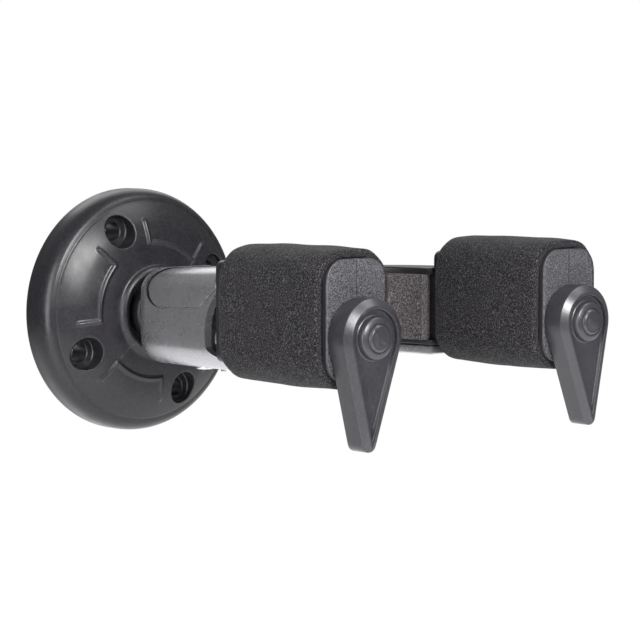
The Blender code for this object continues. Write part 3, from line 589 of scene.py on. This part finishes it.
def sidePrism(name, corners, setbacks, half, turn=0.0, about=(0, 0)):
    # a side outline given as (distance out from the wall, height), carried across the knuckle
    loop = softPath(np.array(corners) * [-1, 1], setbacks)
    loop = evenSteps(loop, 1.5 * mm)
    if turn:
        spin = math.radians(turn)
        centre = np.array([-about[0], about[1]])
        matrix = np.array([[math.cos(spin), -math.sin(spin)], [math.sin(spin), math.cos(spin)]])
        loop = (loop - centre) @ matrix + centre
    stations = np.array([(0, -half), (0, half)])
    return addObject(name, gridMesh(name, edgedGrid(loop, stations, "x"), caps=True))


def leverSide(shape, grow, rearGrow):
    # barrel end as a half circle, level top, and a skirt that rises to the nose
    out, up = shape["pivot"]
    radius = shape["barrel"] + grow
    angle = np.linspace(-math.pi / 2, math.pi / 2, 25)
    lift = np.where(angle > 0, 0.25 * rearGrow, 0)
    across, rise = (radius + rearGrow) * np.cos(angle), (radius + lift) * np.sin(angle)
    barrel = np.stack([out - across, up + rise], axis=1)
    skirt, slant = up - shape["skirtDrop"] - grow, shape["slant"] * grow
    far, start, foot = [out + shape[key] for key in ("noseReach", "skirtStart", "skirtFoot")]
    front = np.array([(far, up + radius), (far, skirt), (start + slant, skirt), (foot + slant, up - radius)])
    return np.vstack([barrel, front])


def leverPrism(name, shape, grow, half, rearGrow=0.0):
    side = leverSide(shape, grow, rearGrow)
    return sidePrism(name, side, sharp, half, shape["tilt"], shape["pivot"])


def roundBar(name, radius, start, end, steps=40):
    # a closed bar between two points along one axis
    start, end = np.array(start), np.array(end)
    k = int(np.argmax(np.abs(end - start)))
    angle = np.linspace(0, math.tau, steps, endpoint=False)
    circle = np.zeros((steps, 3))
    circle[:, (k + 1) % 3], circle[:, (k + 2) % 3] = radius * np.cos(angle), radius * np.sin(angle)
    points = np.stack([start + circle, end + circle])
    return addObject(name, gridMesh(name, points, caps=True))


def plainBox(name, low, high):
    # two rectangles joined by four sides
    low, high = np.array(low), np.array(high)
    square = np.array([(low[0], low[1]), (high[0], low[1]), (high[0], high[1]), (low[0], high[1])])
    heights = np.array([low[2], high[2]])
    points = np.stack([np.column_stack([square, np.full(4, h)]) for h in heights])
    return addObject(name, gridMesh(name, points, caps=True))


def paintSlitShade(housing, shape):
    # painted shade: the faces in the slit look at the barrel's axis from just beyond its radius, and they get
    # the black nylon material in place of the shade deep in the slit
    count = len(housing.data.polygons)
    centre, normal = np.empty(count * 3), np.empty(count * 3)
    housing.data.polygons.foreach_get("center", centre)
    housing.data.polygons.foreach_get("normal", normal)
    out, up = shape["pivot"]
    aside = centre.reshape(-1, 3)[:, 1:] - [-out, up]
    distance = np.linalg.norm(aside, axis=1)
    facing = (aside * normal.reshape(-1, 3)[:, 1:]).sum(axis=1) / distance
    paintedSlitShade = (facing < -0.6) & (distance < shape["barrel"] + shape["slitReach"]) & (aside[:, 0] > 0)
    housing.data.materials.append(nylon)
    housing.data.polygons.foreach_set("material_index", paintedSlitShade.astype(np.int32))


def makeKnuckle():
    shape = knuckleShape
    housing = knuckleEnvelope("knuckleHousing", shape)
    inner = shape["half"] - shape["wall"]
    applyBoolean(housing, plainBox("low", (-inner, farFront, shape["floor"]),
                                   (inner, -shape["rear"] - shape["cavityRear"], shape["cavityRoof"])))
    applyBoolean(housing, plainBox("high", (-inner, farFront, 0), (inner, -shape["leverBay"], past)))
    applyBoolean(housing, leverPrism("seat", shape, shape["seatGap"], past, shape["slit"]))
    applyBoolean(housing, sidePrism("mouth", np.array(mouthOutline) * mm, shape["mouthRound"], past))
    for key, start, end in (("spindleWay", -35 * mm, -20 * mm), ("flangeWay", -31 * mm, -27.7 * mm)):
        applyBoolean(housing, roundBar(key, shape[key], (0, start, 0), (0, end, 0)))
    panAxis = -shape["panAxis"]
    applyBoolean(housing, roundBar("panWay", shape["panWay"], (0, panAxis, -20 * mm), (0, panAxis, 0)))
    for k, out in enumerate(shape["screwsOut"]):
        start, end = (0, -out, -20 * mm), (0, -out, -shape["screwWayTop"])
        applyBoolean(housing, roundBar(f"screwWay{k}", shape["screwWay"], start, end, 20))
    softenEdges(housing, shape["softEdge"])
    finishPiece(housing, "knuckle", silver, ["knuckle_housing"])
    # painted shade inside the lever's slit
    paintSlitShade(housing, shape)


def makeLever():
    shape = knuckleShape
    lever = knuckleEnvelope("lockLever", shape)
    pivot = Vector((0, -shape["pivot"][0], shape["pivot"][1]))
    tilt = Matrix.Translation(pivot) @ Matrix.Rotation(-math.radians(shape["tilt"]), 4, "X")
    lever.data.transform(tilt @ Matrix.Translation(-pivot))
    applyBoolean(lever, leverPrism("body", shape, 0, past), "INTERSECT")
    out, up = shape["pivot"]
    angle = np.linspace(math.radians(-10), math.pi / 2, 16)
    radius = shape["barrel"] - shape["skin"]
    hollow = np.stack([out - radius * np.cos(angle), up + radius * np.sin(angle)], axis=1)
    front, drop = out + shape["hollowFront"], up - shape["hollowDrop"]
    hollow = np.vstack([hollow, [(front, up + radius), (front, drop), (out - shape["hollowRear"], drop)]])
    inner = shape["half"] - shape["wall"]
    prism = sidePrism("hollow", hollow, sharp, inner, shape["tilt"], shape["pivot"])
    limit = plainBox("hollowLimit", (-past, -shape["panAxis"], -0.05), (past, 0.02, 0.05))
    applyBoolean(prism, limit, "INTERSECT")
    applyBoolean(lever, prism)
    reach = inner + shape["pinReach"]
    start, end = (-reach, pivot.y, pivot.z), (reach, pivot.y, pivot.z)
    applyBoolean(lever, roundBar("pinWay", shape["pinWay"], start, end, 32))
    turn = np.linspace(0, -math.pi, 33)
    nose = np.stack([np.cos(turn), np.sin(turn)], axis=1) * shape["noseClear"] - [0, shape["panAxis"]]
    wide, start, rear = shape["half"] + 1 * mm, -shape["panAxis"] + shape["noseFrom"], -20 * mm
    plan = np.vstack([[(wide, rear), (wide, start)], nose, [(-wide, start), (-wide, rear)]])[::-1]
    limit = edgedGrid(evenSteps(plan, 1.5 * mm), np.array([(0, -past), (0, 0.04)]), "z")
    applyBoolean(lever, addObject("noseLimit", gridMesh("noseLimit", limit, caps=True)), "INTERSECT")
    softenEdges(lever, shape["softEdge"])
    finishPiece(lever, "lever", silver, ["lock_lever"])


makeKnuckle()
makeLever()
print("knuckle and lever made")


# ---------- yoke, tray and neck cushion ----------

yokeShape = {
    "centre": 109.6 * mm, "inner": 27.5 * mm, "outer": 40 * mm, "back": 31.8 * mm, "bottom": -6.2 * mm,
    "top": 16.3 * mm, "edge": 0.7 * mm, "trayBottom": -8.8 * mm, "trayEdge": 0.45 * mm,
    "cushionFace": 25.4 * mm, "pocket": 29.2 * mm, "cushionBottom": -4.5 * mm, "cushionTop": 14.3 * mm,
    "cushionEdge": 0.3 * mm, "cushionSkin": 0.3 * mm, "pocketGap": 0.03 * mm, "trayGap": 0.06 * mm,
    "trayScrews": ((33.7 * mm, 104.0 * mm), (22.8 * mm, 87.2 * mm)), "trayWay": 1.7 * mm, "traySink": 3.0 * mm,
    "trayWayTop": 6 * mm, "traySinkTop": -7.2 * mm, "boltX": 44.8 * mm, "boltHeights": (0, 15 * mm),
    "boltWay": 2.2 * mm, "panAxis": 66 * mm, "hub": 9.5 * mm, "hubBottom": -8.9 * mm, "hubTop": 3.6 * mm,
    "bore": 3.3 * mm, "flangeX": 40.45 * mm, "flangeZ": 7.4 * mm,
}


def yokeLoop(shape):
    # half an ellipse outside and half a circle inside, joined across the two ends
    turn = np.linspace(0, math.pi, 73)
    outer = np.stack([shape["outer"] * np.cos(turn), -shape["centre"] + shape["back"] * np.sin(turn)], axis=1)
    inner = np.stack([shape["inner"] * np.cos(turn), -shape["centre"] + shape["inner"] * np.sin(turn)], axis=1)
    return evenSteps(np.vstack([outer, inner[::-1]]), 1.5 * mm)


def boltWays(made, shape, flangeToo):
    low = -30 * mm
    for side in (-1, 1):
        for x, y in shape["trayScrews"]:
            x = side * x
            way = roundBar("trayWay", shape["trayWay"], (x, -y, low), (x, -y, shape["trayWayTop"]), 24)
            applyBoolean(made, way)
            sink = roundBar("traySink", shape["traySink"], (x, -y, low), (x, -y, shape["traySinkTop"]), 32)
            applyBoolean(made, sink)
        for up in shape["boltHeights"] if flangeToo else ():
            x = side * shape["boltX"]
            applyBoolean(made, roundBar("flangeWay", shape["boltWay"], (x, -0.12, up), (x, -0.10, up), 24))


def makeYoke():
    shape = yokeShape
    stations = filletStations(shape["bottom"], shape["top"], shape["edge"], 4)
    frameGrid = edgedGrid(yokeLoop(shape), stations, "z")
    yoke = addObject("yokeFrame", gridMesh("yokeFrame", frameGrid, caps=True))
    hub = roundedBox(8 * mm, 7.6 * mm, 1.2 * mm, (0, -73.8 * mm), 5)
    neck = edgedGrid(hub, filletStations(shape["bottom"], shape["hubTop"], 0.6 * mm, 3), "z")
    applyBoolean(yoke, addObject("neck", gridMesh("neck", neck, caps=True)), "UNION")
    turn = np.linspace(0, math.tau, 64, endpoint=False)
    circle = np.stack([shape["hub"] * np.cos(turn), -shape["panAxis"] + shape["hub"] * np.sin(turn)], axis=1)
    drum = edgedGrid(circle, filletStations(shape["hubBottom"], shape["hubTop"], 0.5 * mm, 3), "z")
    applyBoolean(yoke, addObject("drum", gridMesh("drum", drum, caps=True)), "UNION")
    for side in (-1, 1):
        plate = roundedBox(8.95 * mm, 13.6 * mm, 2.2 * mm, (side * shape["flangeX"], shape["flangeZ"]), 6)
        grid = edgedGrid(plate, filletStations(106.5 * mm, 109.6 * mm, 0.4 * mm, 3), "-y")
        applyBoolean(yoke, addObject("flange", gridMesh("flange", grid, caps=True)), "UNION")
    turn = np.radians(np.linspace(-2, 182, 93))
    deep, shallow = shape["pocket"], shape["cushionFace"]
    pocket = np.vstack([np.stack([deep * np.cos(turn), deep * np.sin(turn)], axis=1),
                        np.stack([shallow * np.cos(turn), shallow * np.sin(turn)], axis=1)[::-1]])
    pocket[:, 1] -= shape["centre"]
    gap = shape["pocketGap"]
    stations = [(0, shape["cushionBottom"] - gap), (0, shape["cushionTop"] + gap)]
    applyBoolean(yoke, addObject("pocket", gridMesh("pocket", edgedGrid(pocket, stations, "z"), caps=True)))
    boltWays(yoke, shape, True)
    panAxis = -shape["panAxis"]
    applyBoolean(yoke, roundBar("hubBore", shape["bore"], (0, panAxis, -30 * mm), (0, panAxis, 30 * mm)))
    finishPiece(yoke, "yoke", moulding, ["yoke_frame"])
    stations = filletStations(shape["trayBottom"], shape["bottom"] - shape["trayGap"], shape["trayEdge"], 4)
    tray = addObject("yokeTray", gridMesh("yokeTray", edgedGrid(yokeLoop(shape), stations, "z"), caps=True))
    boltWays(tray, shape, False)
    finishPiece(tray, "yoke", silver, ["yoke_tray"])


def makeCushion():
    shape = yokeShape
    turn = np.radians(np.linspace(3.5, 176.5, 120))
    skin, face = shape["pocket"] - shape["cushionSkin"], shape["cushionFace"]
    outer = np.stack([skin * np.cos(turn), -shape["centre"] + skin * np.sin(turn)], axis=1)
    inner = np.stack([face * np.cos(turn), -shape["centre"] + face * np.sin(turn)], axis=1)[::-1]
    loop = evenSteps(np.vstack([outer, inner]), 0.5 * mm)
    fillet = filletStations(shape["cushionBottom"], shape["cushionTop"], shape["cushionEdge"], 6)
    middle = np.linspace(fillet[6, 1], fillet[7, 1], 34)[1:-1]
    stations = np.vstack([fillet[:7], np.stack([np.zeros(len(middle)), middle], axis=1), fillet[7:]])
    grid = edgedGrid(loop, stations, "z")
    cushion = addObject("neckCushion", gridMesh("neckCushion", grid, caps=True))
    finishPiece(cushion, "yoke", cushionFoamLightened, ["neck_cushion"], 60)


makeYoke()
makeCushion()
print("yoke made")


# ---------- arms and foam sleeves ----------

armShape = {
    "x": 39.8 * mm, "z": 7.4 * mm, "rear": 109.9 * mm, "front": 151.4 * mm, "halfWidth": 10.1 * mm,
    "halfHeight": 15.5 * mm, "corner": 5.6 * mm, "edge": 0.5 * mm, "axleZ": 3.1 * mm,
    "seam": 0.04 * mm, "axleWay": 3.3 * mm, "nutPocket": 6.4 * mm, "washerSeat": 6.6 * mm,
    "axleRear": -0.115, "nutSpan": (-0.132, -0.118), "seatRear": -0.1501,
}
sleeveShape = {
    "halfWidth": 12.8 * mm, "halfHeight": 18.0 * mm, "corner": 9.8 * mm, "thick": 2.4 * mm,
    "rear": 110.9 * mm, "front": 150.0 * mm, "rearEdge": 2.2 * mm, "frontEdge": 1.0 * mm, "crown": 0.4 * mm,
    "ripple": 0.06 * mm,
}


def makeArmHalf(name, side, facing, node):
    # half of a rounded box; its front edge is sharp at the joint and rounds off away from it
    shape = armShape
    seam, width, height, r = shape["seam"], shape["halfWidth"], shape["halfHeight"], shape["corner"]
    turn = np.linspace(-math.pi / 2, 0, 13)
    low = np.stack([width - r + r * np.cos(turn), -height + r + r * np.sin(turn)], axis=1)
    turn = np.linspace(0, math.pi / 2, 13)
    high = np.stack([width - r + r * np.cos(turn), height - r + r * np.sin(turn)], axis=1)
    loop = np.vstack([low, high, softPath([(seam, height), (seam, -height)], 0, closed=False)])
    loop = evenSteps(loop, 1 * mm) * [facing, 1] + [side * shape["x"], shape["z"]]
    if facing < 0:
        loop = loop[::-1]
    nearSeam = np.clip(np.abs(loop[:, 0] - side * shape["x"]) / (1.5 * mm), 0.12, 1).reshape(1, -1, 1)
    stations = filletStations(shape["rear"], shape["front"], shape["edge"], 5)
    ring = loop[None] + outward(loop)[None] * nearSeam * stations[:, 0].reshape(-1, 1, 1)
    depth = np.broadcast_to(stations[:, 1].reshape(-1, 1), ring.shape[:2])
    grid = onAxis(ring[..., 0], ring[..., 1], depth, "-y")
    half = addObject(name, gridMesh(name, grid, caps=True))
    x, z = side * shape["x"], shape["axleZ"]
    front, (nutFront, nutRear) = -0.17, shape["nutSpan"]
    applyBoolean(half, roundBar("axleWay", shape["axleWay"], (x, front, z), (x, shape["axleRear"], z)))
    applyBoolean(half, roundBar("nutPocket", shape["nutPocket"], (x, nutFront, z), (x, nutRear, z)))
    applyBoolean(half, roundBar("washerSeat", shape["washerSeat"], (x, front, z), (x, shape["seatRear"], z)))
    finishPiece(half, "yoke", coreBlack, [node])


def makeSleeve(name, side, node):
    # the rounded outline is carried round the foam wall's own section: out along the outer
    # face, over the front edge, back along the inner face and over the rear edge
    shape = sleeveShape
    loop = roundedBox(shape["halfWidth"], shape["halfHeight"], shape["corner"],
                      (side * armShape["x"], armShape["z"]), 22, 0.55 * mm)
    front, rear, thick = shape["front"], shape["rear"], shape["thick"]
    section = softPath([(0, rear), (0, front), (-thick, front), (-thick, rear)],
                       [shape["rearEdge"], shape["frontEdge"], 0.6 * mm, 0.6 * mm], 8)
    section = evenSteps(section, 0.7 * mm)
    middle, half = (front + rear) / 2, (front - rear) / 2
    bulge = shape["crown"] * (1 - ((section[:, 1] - middle) / half) ** 2)
    outside = section[:, 0] > -0.5 * thick
    section[:, 0] += bulge * outside - shape["crown"] * 0.5 * outside
    grid = edgedGrid(loop, section, "-y")
    s, t = np.meshgrid(np.arange(grid.shape[1]) / grid.shape[1], section[:, 1] / half)
    ripple = shape["ripple"] * (np.sin(math.tau * 9 * s + 5 * t) + np.sin(math.tau * 14 * s - 7 * t + side))
    centre = np.array([side * armShape["x"], 0, armShape["z"]])
    direction = (grid - centre) * [1, 0, 1]
    direction /= np.linalg.norm(direction, axis=2, keepdims=True)
    grid += direction * (ripple * (section[:, 0] > -0.5 * thick).reshape(-1, 1))[..., None]
    sleeve = addObject(name, gridMesh(name, grid, alongClosed=True))
    finishPiece(sleeve, "yoke", foam, [node], 60)


for sideName, side in (("left", -1), ("right", 1)):
    makeArmHalf(f"{sideName}ArmOuter", side, side, f"{sideName}_arm_outer")
    makeArmHalf(f"{sideName}ArmInner", side, -side, f"{sideName}_arm_inner")
    makeSleeve(f"{sideName}Sleeve", side, f"{sideName}_foam_sleeve")
print("arms made")


# ---------- gates ----------

gateShape = {
    "head": 10.0 * mm, "tip": 2.5 * mm, "reach": 26.5 * mm, "rear": 151.7 * mm, "ridge": 157.4 * mm,
    "rim": 158.7 * mm, "floor": 157.8 * mm, "bossTop": 160.0 * mm, "splay": {-1: 2.4, 1: 5.0},
}


def teardropRadius(angle, head, tip, reach):
    # polar form about the head's centre, angle measured from the tip: the head's circle, then
    # the side line head / sin(angle + lean), then the tip's own circle
    lean = math.asin((head - tip) / reach)
    side = head / np.sin(np.clip(angle + lean, 0.02, math.pi - 0.02))
    meets = math.atan2(tip * math.cos(lean), reach + tip * math.sin(lean))
    below = np.clip(tip ** 2 - (reach * np.sin(angle)) ** 2, 0, None)
    nose = reach * np.cos(angle) + np.sqrt(below)
    return np.where(angle > math.pi / 2 - lean, head, np.where(angle < meets, nose, side))


def gateAngles():
    # close together round the tip, wider along the sides, even round the head
    tip, sides, head = np.linspace(0, 0.088, 9), np.geomspace(0.1, 0.62, 22), np.linspace(0.67, math.pi, 46)
    fine = np.concatenate([tip, sides, head])
    return np.concatenate([fine, -fine[-2:0:-1]])


def makeGate(name, side, body):
    shape = gateShape
    angle = gateAngles()
    lean = math.asin((shape["head"] - shape["tip"]) / shape["reach"])
    rim, floor, ridge, rear = shape["rim"], shape["floor"], shape["ridge"], shape["rear"]
    # (inset from the outline in mm, distance from the wall), from the back round to the sunk face
    sides = [(0.5, rear), (0.22, rear + 0.06 * mm), (0.06, rear + 0.22 * mm), (0, rear + 0.5 * mm),
             (0, rear + 3 * mm), (0, ridge - 0.25 * mm), (0.07, ridge - 0.02 * mm), (0.26, ridge + 0.14 * mm),
             (1.75, rim - 0.2 * mm), (1.95, rim - 0.06 * mm), (2.12, rim), (2.42, rim),
             (2.58, rim - 0.05 * mm), (2.66, rim - 0.2 * mm), (2.72, floor + 0.2 * mm),
             (2.82, floor + 0.05 * mm), (3.05, floor)]
    rings = []
    for inset, depth in sides:
        head = shape["head"] - inset * mm
        tip = max(shape["tip"] - 1.25 * inset * mm, 0.1 * mm)
        reach = (head - tip) / math.sin(lean)
        rings.append((teardropRadius(np.abs(angle), head, tip, reach), depth))
    last, first, foot, bore = rings[-1][0], rings[0][0], 6.1, 3.3
    # (radius in mm, distance from the wall): over the raised ring and down the bore
    boss = [(foot, floor), (5.85, floor + 0.04 * mm), (5.66, floor + 0.2 * mm), (5.42, 159.2 * mm),
            (5.3, 159.42 * mm), (5.05, 159.6 * mm), (4.2, 159.94 * mm), (3.9, shape["bossTop"]),
            (3.72, shape["bossTop"] - 0.02 * mm), (3.65, shape["bossTop"] - 0.2 * mm), (3.65, 157.0 * mm),
            (bore, 157.0 * mm), (bore, rear)]
    rings += [((last * (1 - w) + foot * mm * w), floor) for w in (0.35, 0.7)]
    rings += [(np.full(len(angle), radius * mm), depth) for radius, depth in boss]
    rings += [((first * w + bore * mm * (1 - w)), rear) for w in (0.35, 0.7)]
    radius = np.stack([ring[0] for ring in rings])
    depth = np.stack([np.full(len(angle), ring[1]) for ring in rings])
    across, up = radius * np.sin(angle), -radius * np.cos(angle)
    hang = math.radians(shape["splay"][side]) * side
    x = across * math.cos(hang) - up * math.sin(hang) + side * armShape["x"]
    z = across * math.sin(hang) + up * math.cos(hang) + armShape["axleZ"]
    gate = addObject(name, gridMesh(name, np.stack([x, -depth, z], axis=-1), alongClosed=True))
    finishPiece(gate, body, gateBlack, [body])


def makeCap(name, side, body, node):
    # turned from (radius, distance from the wall)
    profile = softPath(np.array([(0.001, 160.62), (2.4, 160.6), (3.05, 160.54), (3.6, 160.0), (3.6, 158.8),
                                 (0.001, 158.8)]) * mm, 0.12 * mm, 4, closed=False)
    centre = (side * armShape["x"], 0, armShape["axleZ"])
    cap = addObject(name, gridMesh(name, turnedGrid(profile, 72, centre)))
    finishPiece(cap, body, gateBlack, [node])


for sideName, side in (("left", -1), ("right", 1)):
    makeGate(f"{sideName}Gate", side, f"{sideName}_gate")
    makeCap(f"{sideName}GateCap", side, f"{sideName}_gate", f"{sideName}_gate_cap")
print("gates made")


# ---------- socket screws on the hidden sides ----------

screwSizes = {                  # head radius, head height, shaft radius
    "pan": (4.8 * mm, 2.2 * mm, 3.0 * mm), "core": (2.8 * mm, 1.4 * mm, 1.5 * mm),
    "tray": (2.7 * mm, 1.3 * mm, 1.4 * mm), "arm": (3.4 * mm, 2.0 * mm, 1.9 * mm),
}


def makeScrew(name, node, body, axis, headRadius, headHeight, shaftRadius):
    # turned head whose socket's radius follows a hexagon: flat / cos(angle within one sixth)
    low, high = [np.array(corner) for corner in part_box(node)]
    centre = (low + high) / 2
    angle = np.linspace(0, math.tau, 72, endpoint=False)
    hexagon = 1 / np.cos((angle % (math.pi / 3)) - math.pi / 6)
    length, head = (high - low).max(), headHeight
    socket, soft, pole = headRadius * 0.42, 0.08 * mm, 0.0005 * mm
    stations = [(pole, -0.62 * head, 0), (socket, -0.62 * head, 1), (socket, -0.05 * head, 1),
                (socket + soft, 0, 1), (headRadius * 0.8, 0, 0), (headRadius * 0.93, -0.1 * head, 0),
                (headRadius, -0.3 * head, 0), (headRadius, -head + soft, 0), (headRadius - soft, -head, 0),
                (shaftRadius, -head, 0), (shaftRadius, -length, 0), (pole, -length, 0)]
    radius = np.stack([r * (1 + (hexagon - 1) * six) for r, _, six in stations])
    height = np.stack([np.full(72, h) for _, h, _ in stations])
    a, b = radius * np.cos(angle), radius * np.sin(angle)
    if axis == "down":
        points = np.stack([centre[0] + a, centre[1] - b, low[2] - height], axis=-1)
    else:
        points = np.stack([centre[0] + a, high[1] + height, centre[2] + b], axis=-1)
    made = addObject(name, gridMesh(name, points))
    finishPiece(made, body, steel, [node])


makeScrew("panBolt", "pan_bolt", "knuckle", "down", *screwSizes["pan"])
for k in (1, 2):
    makeScrew(f"coreScrew{k}", f"core_screw_{k}", "knuckle", "down", *screwSizes["core"])
    for sideName in ("left", "right"):
        makeScrew(f"{sideName}TrayScrew{k}", f"{sideName}_tray_screw_{k}", "yoke", "down", *screwSizes["tray"])
        makeScrew(f"{sideName}ArmBolt{k}", f"{sideName}_arm_bolt_{k}", "yoke", "back", *screwSizes["arm"])
print("screws made")


# ---------- camera, floor and light ----------

view = {
    "position": (-0.4124, -0.5577, 0.05066), "forward": (0.6617, 0.7463, -0.0785), "lens": 123.03,
}
camera = bpy.data.cameras.new("camera")
camera.lens = view["lens"]
camera.sensor_width = 36
camera.clip_end = 50
cameraObject = bpy.data.objects.new("camera", camera)
scene.collection.objects.link(cameraObject)
cameraObject.location = view["position"]
cameraObject.rotation_euler = Vector(view["forward"]).to_track_quat("-Z", "Y").to_euler()
scene.camera = cameraObject
scene.view_settings.view_transform = "Standard"

studio = {
    "floorHeight": -0.42, "floorSize": 2.6, "floorColour": (0.93, 0.93, 0.94),
    "floorGlow": 0.46, "skyTop": 0.45, "skySide": 0.2, "backdrop": 1.0,
    "aim": (0, -0.09, 0), "skyRange": (0.1, 0.75),
}
softboxes = [                   # name, place, size, watts
    ("frontSoftbox", (-0.20, -1.32, 0.62), (0.42, 0.42), 38),
    ("leftSoftbox", (-0.88, -0.50, 0.16), (0.35, 0.85), 13),
    ("topSoftbox", (0.50, -0.70, 1.05), (0.5, 0.5), 7),
    ("backSoftbox", (0.63, 0.82, 0.84), (1.2, 0.9), 6),
]


def makeFloor():
    size = studio["floorSize"] / 2
    square = np.array([[(-size, -size), (size, -size)], [(-size, size), (size, size)]], float)
    points = np.concatenate([square, np.full((2, 2, 1), studio["floorHeight"])], axis=-1)
    floor = addObject("floor", gridMesh("floor", points, acrossClosed=False))
    material, _, _, shader, _ = startMaterial("paleFloor", studio["floorColour"], 0.9)
    shader.inputs["Emission Color"].default_value = (1, 1, 1, 1)
    shader.inputs["Emission Strength"].default_value = studio["floorGlow"]
    floor.data.materials.append(material)


def addLight(name, location, size, power):
    light = bpy.data.lights.new(name, "AREA")
    light.shape = "RECTANGLE"
    light.size, light.size_y = size
    light.energy = power
    lamp = bpy.data.objects.new(name, light)
    scene.collection.objects.link(lamp)
    lamp.location = location
    aim = Vector(studio["aim"]) - Vector(location)
    lamp.rotation_euler = aim.to_track_quat("-Z", "Y").to_euler()


def makeWorld():
    # brighter overhead than at the sides
    world = bpy.data.worlds.new("studio")
    scene.world = world
    world.use_nodes = True
    nodes, links = world.node_tree.nodes, world.node_tree.links
    background = nodes["Background"]
    direction = nodes.new("ShaderNodeTexCoord").outputs["Generated"]
    split = nodes.new("ShaderNodeSeparateXYZ")
    links.new(direction, split.inputs[0])
    ranged = nodes.new("ShaderNodeMapRange")
    background.inputs["Color"].default_value = (1, 1, 1, 1)
    low, high = studio["skyRange"]
    ranged.inputs["From Min"].default_value = low
    ranged.inputs["From Max"].default_value = high
    ranged.inputs["To Min"].default_value = studio["skySide"]
    ranged.inputs["To Max"].default_value = studio["skyTop"]
    links.new(split.outputs["Z"], ranged.inputs["Value"])
    pale = nodes.new("ShaderNodeMix")
    pale.inputs[3].default_value = studio["backdrop"]
    links.new(nodes.new("ShaderNodeLightPath").outputs["Is Camera Ray"], pale.inputs["Factor"])
    links.new(ranged.outputs["Result"], pale.inputs[2])
    links.new(pale.outputs[0], background.inputs["Strength"])


makeFloor()
makeWorld()
for name, location, size, power in softboxes:
    addLight(name, location, size, power)
print("studio ready")
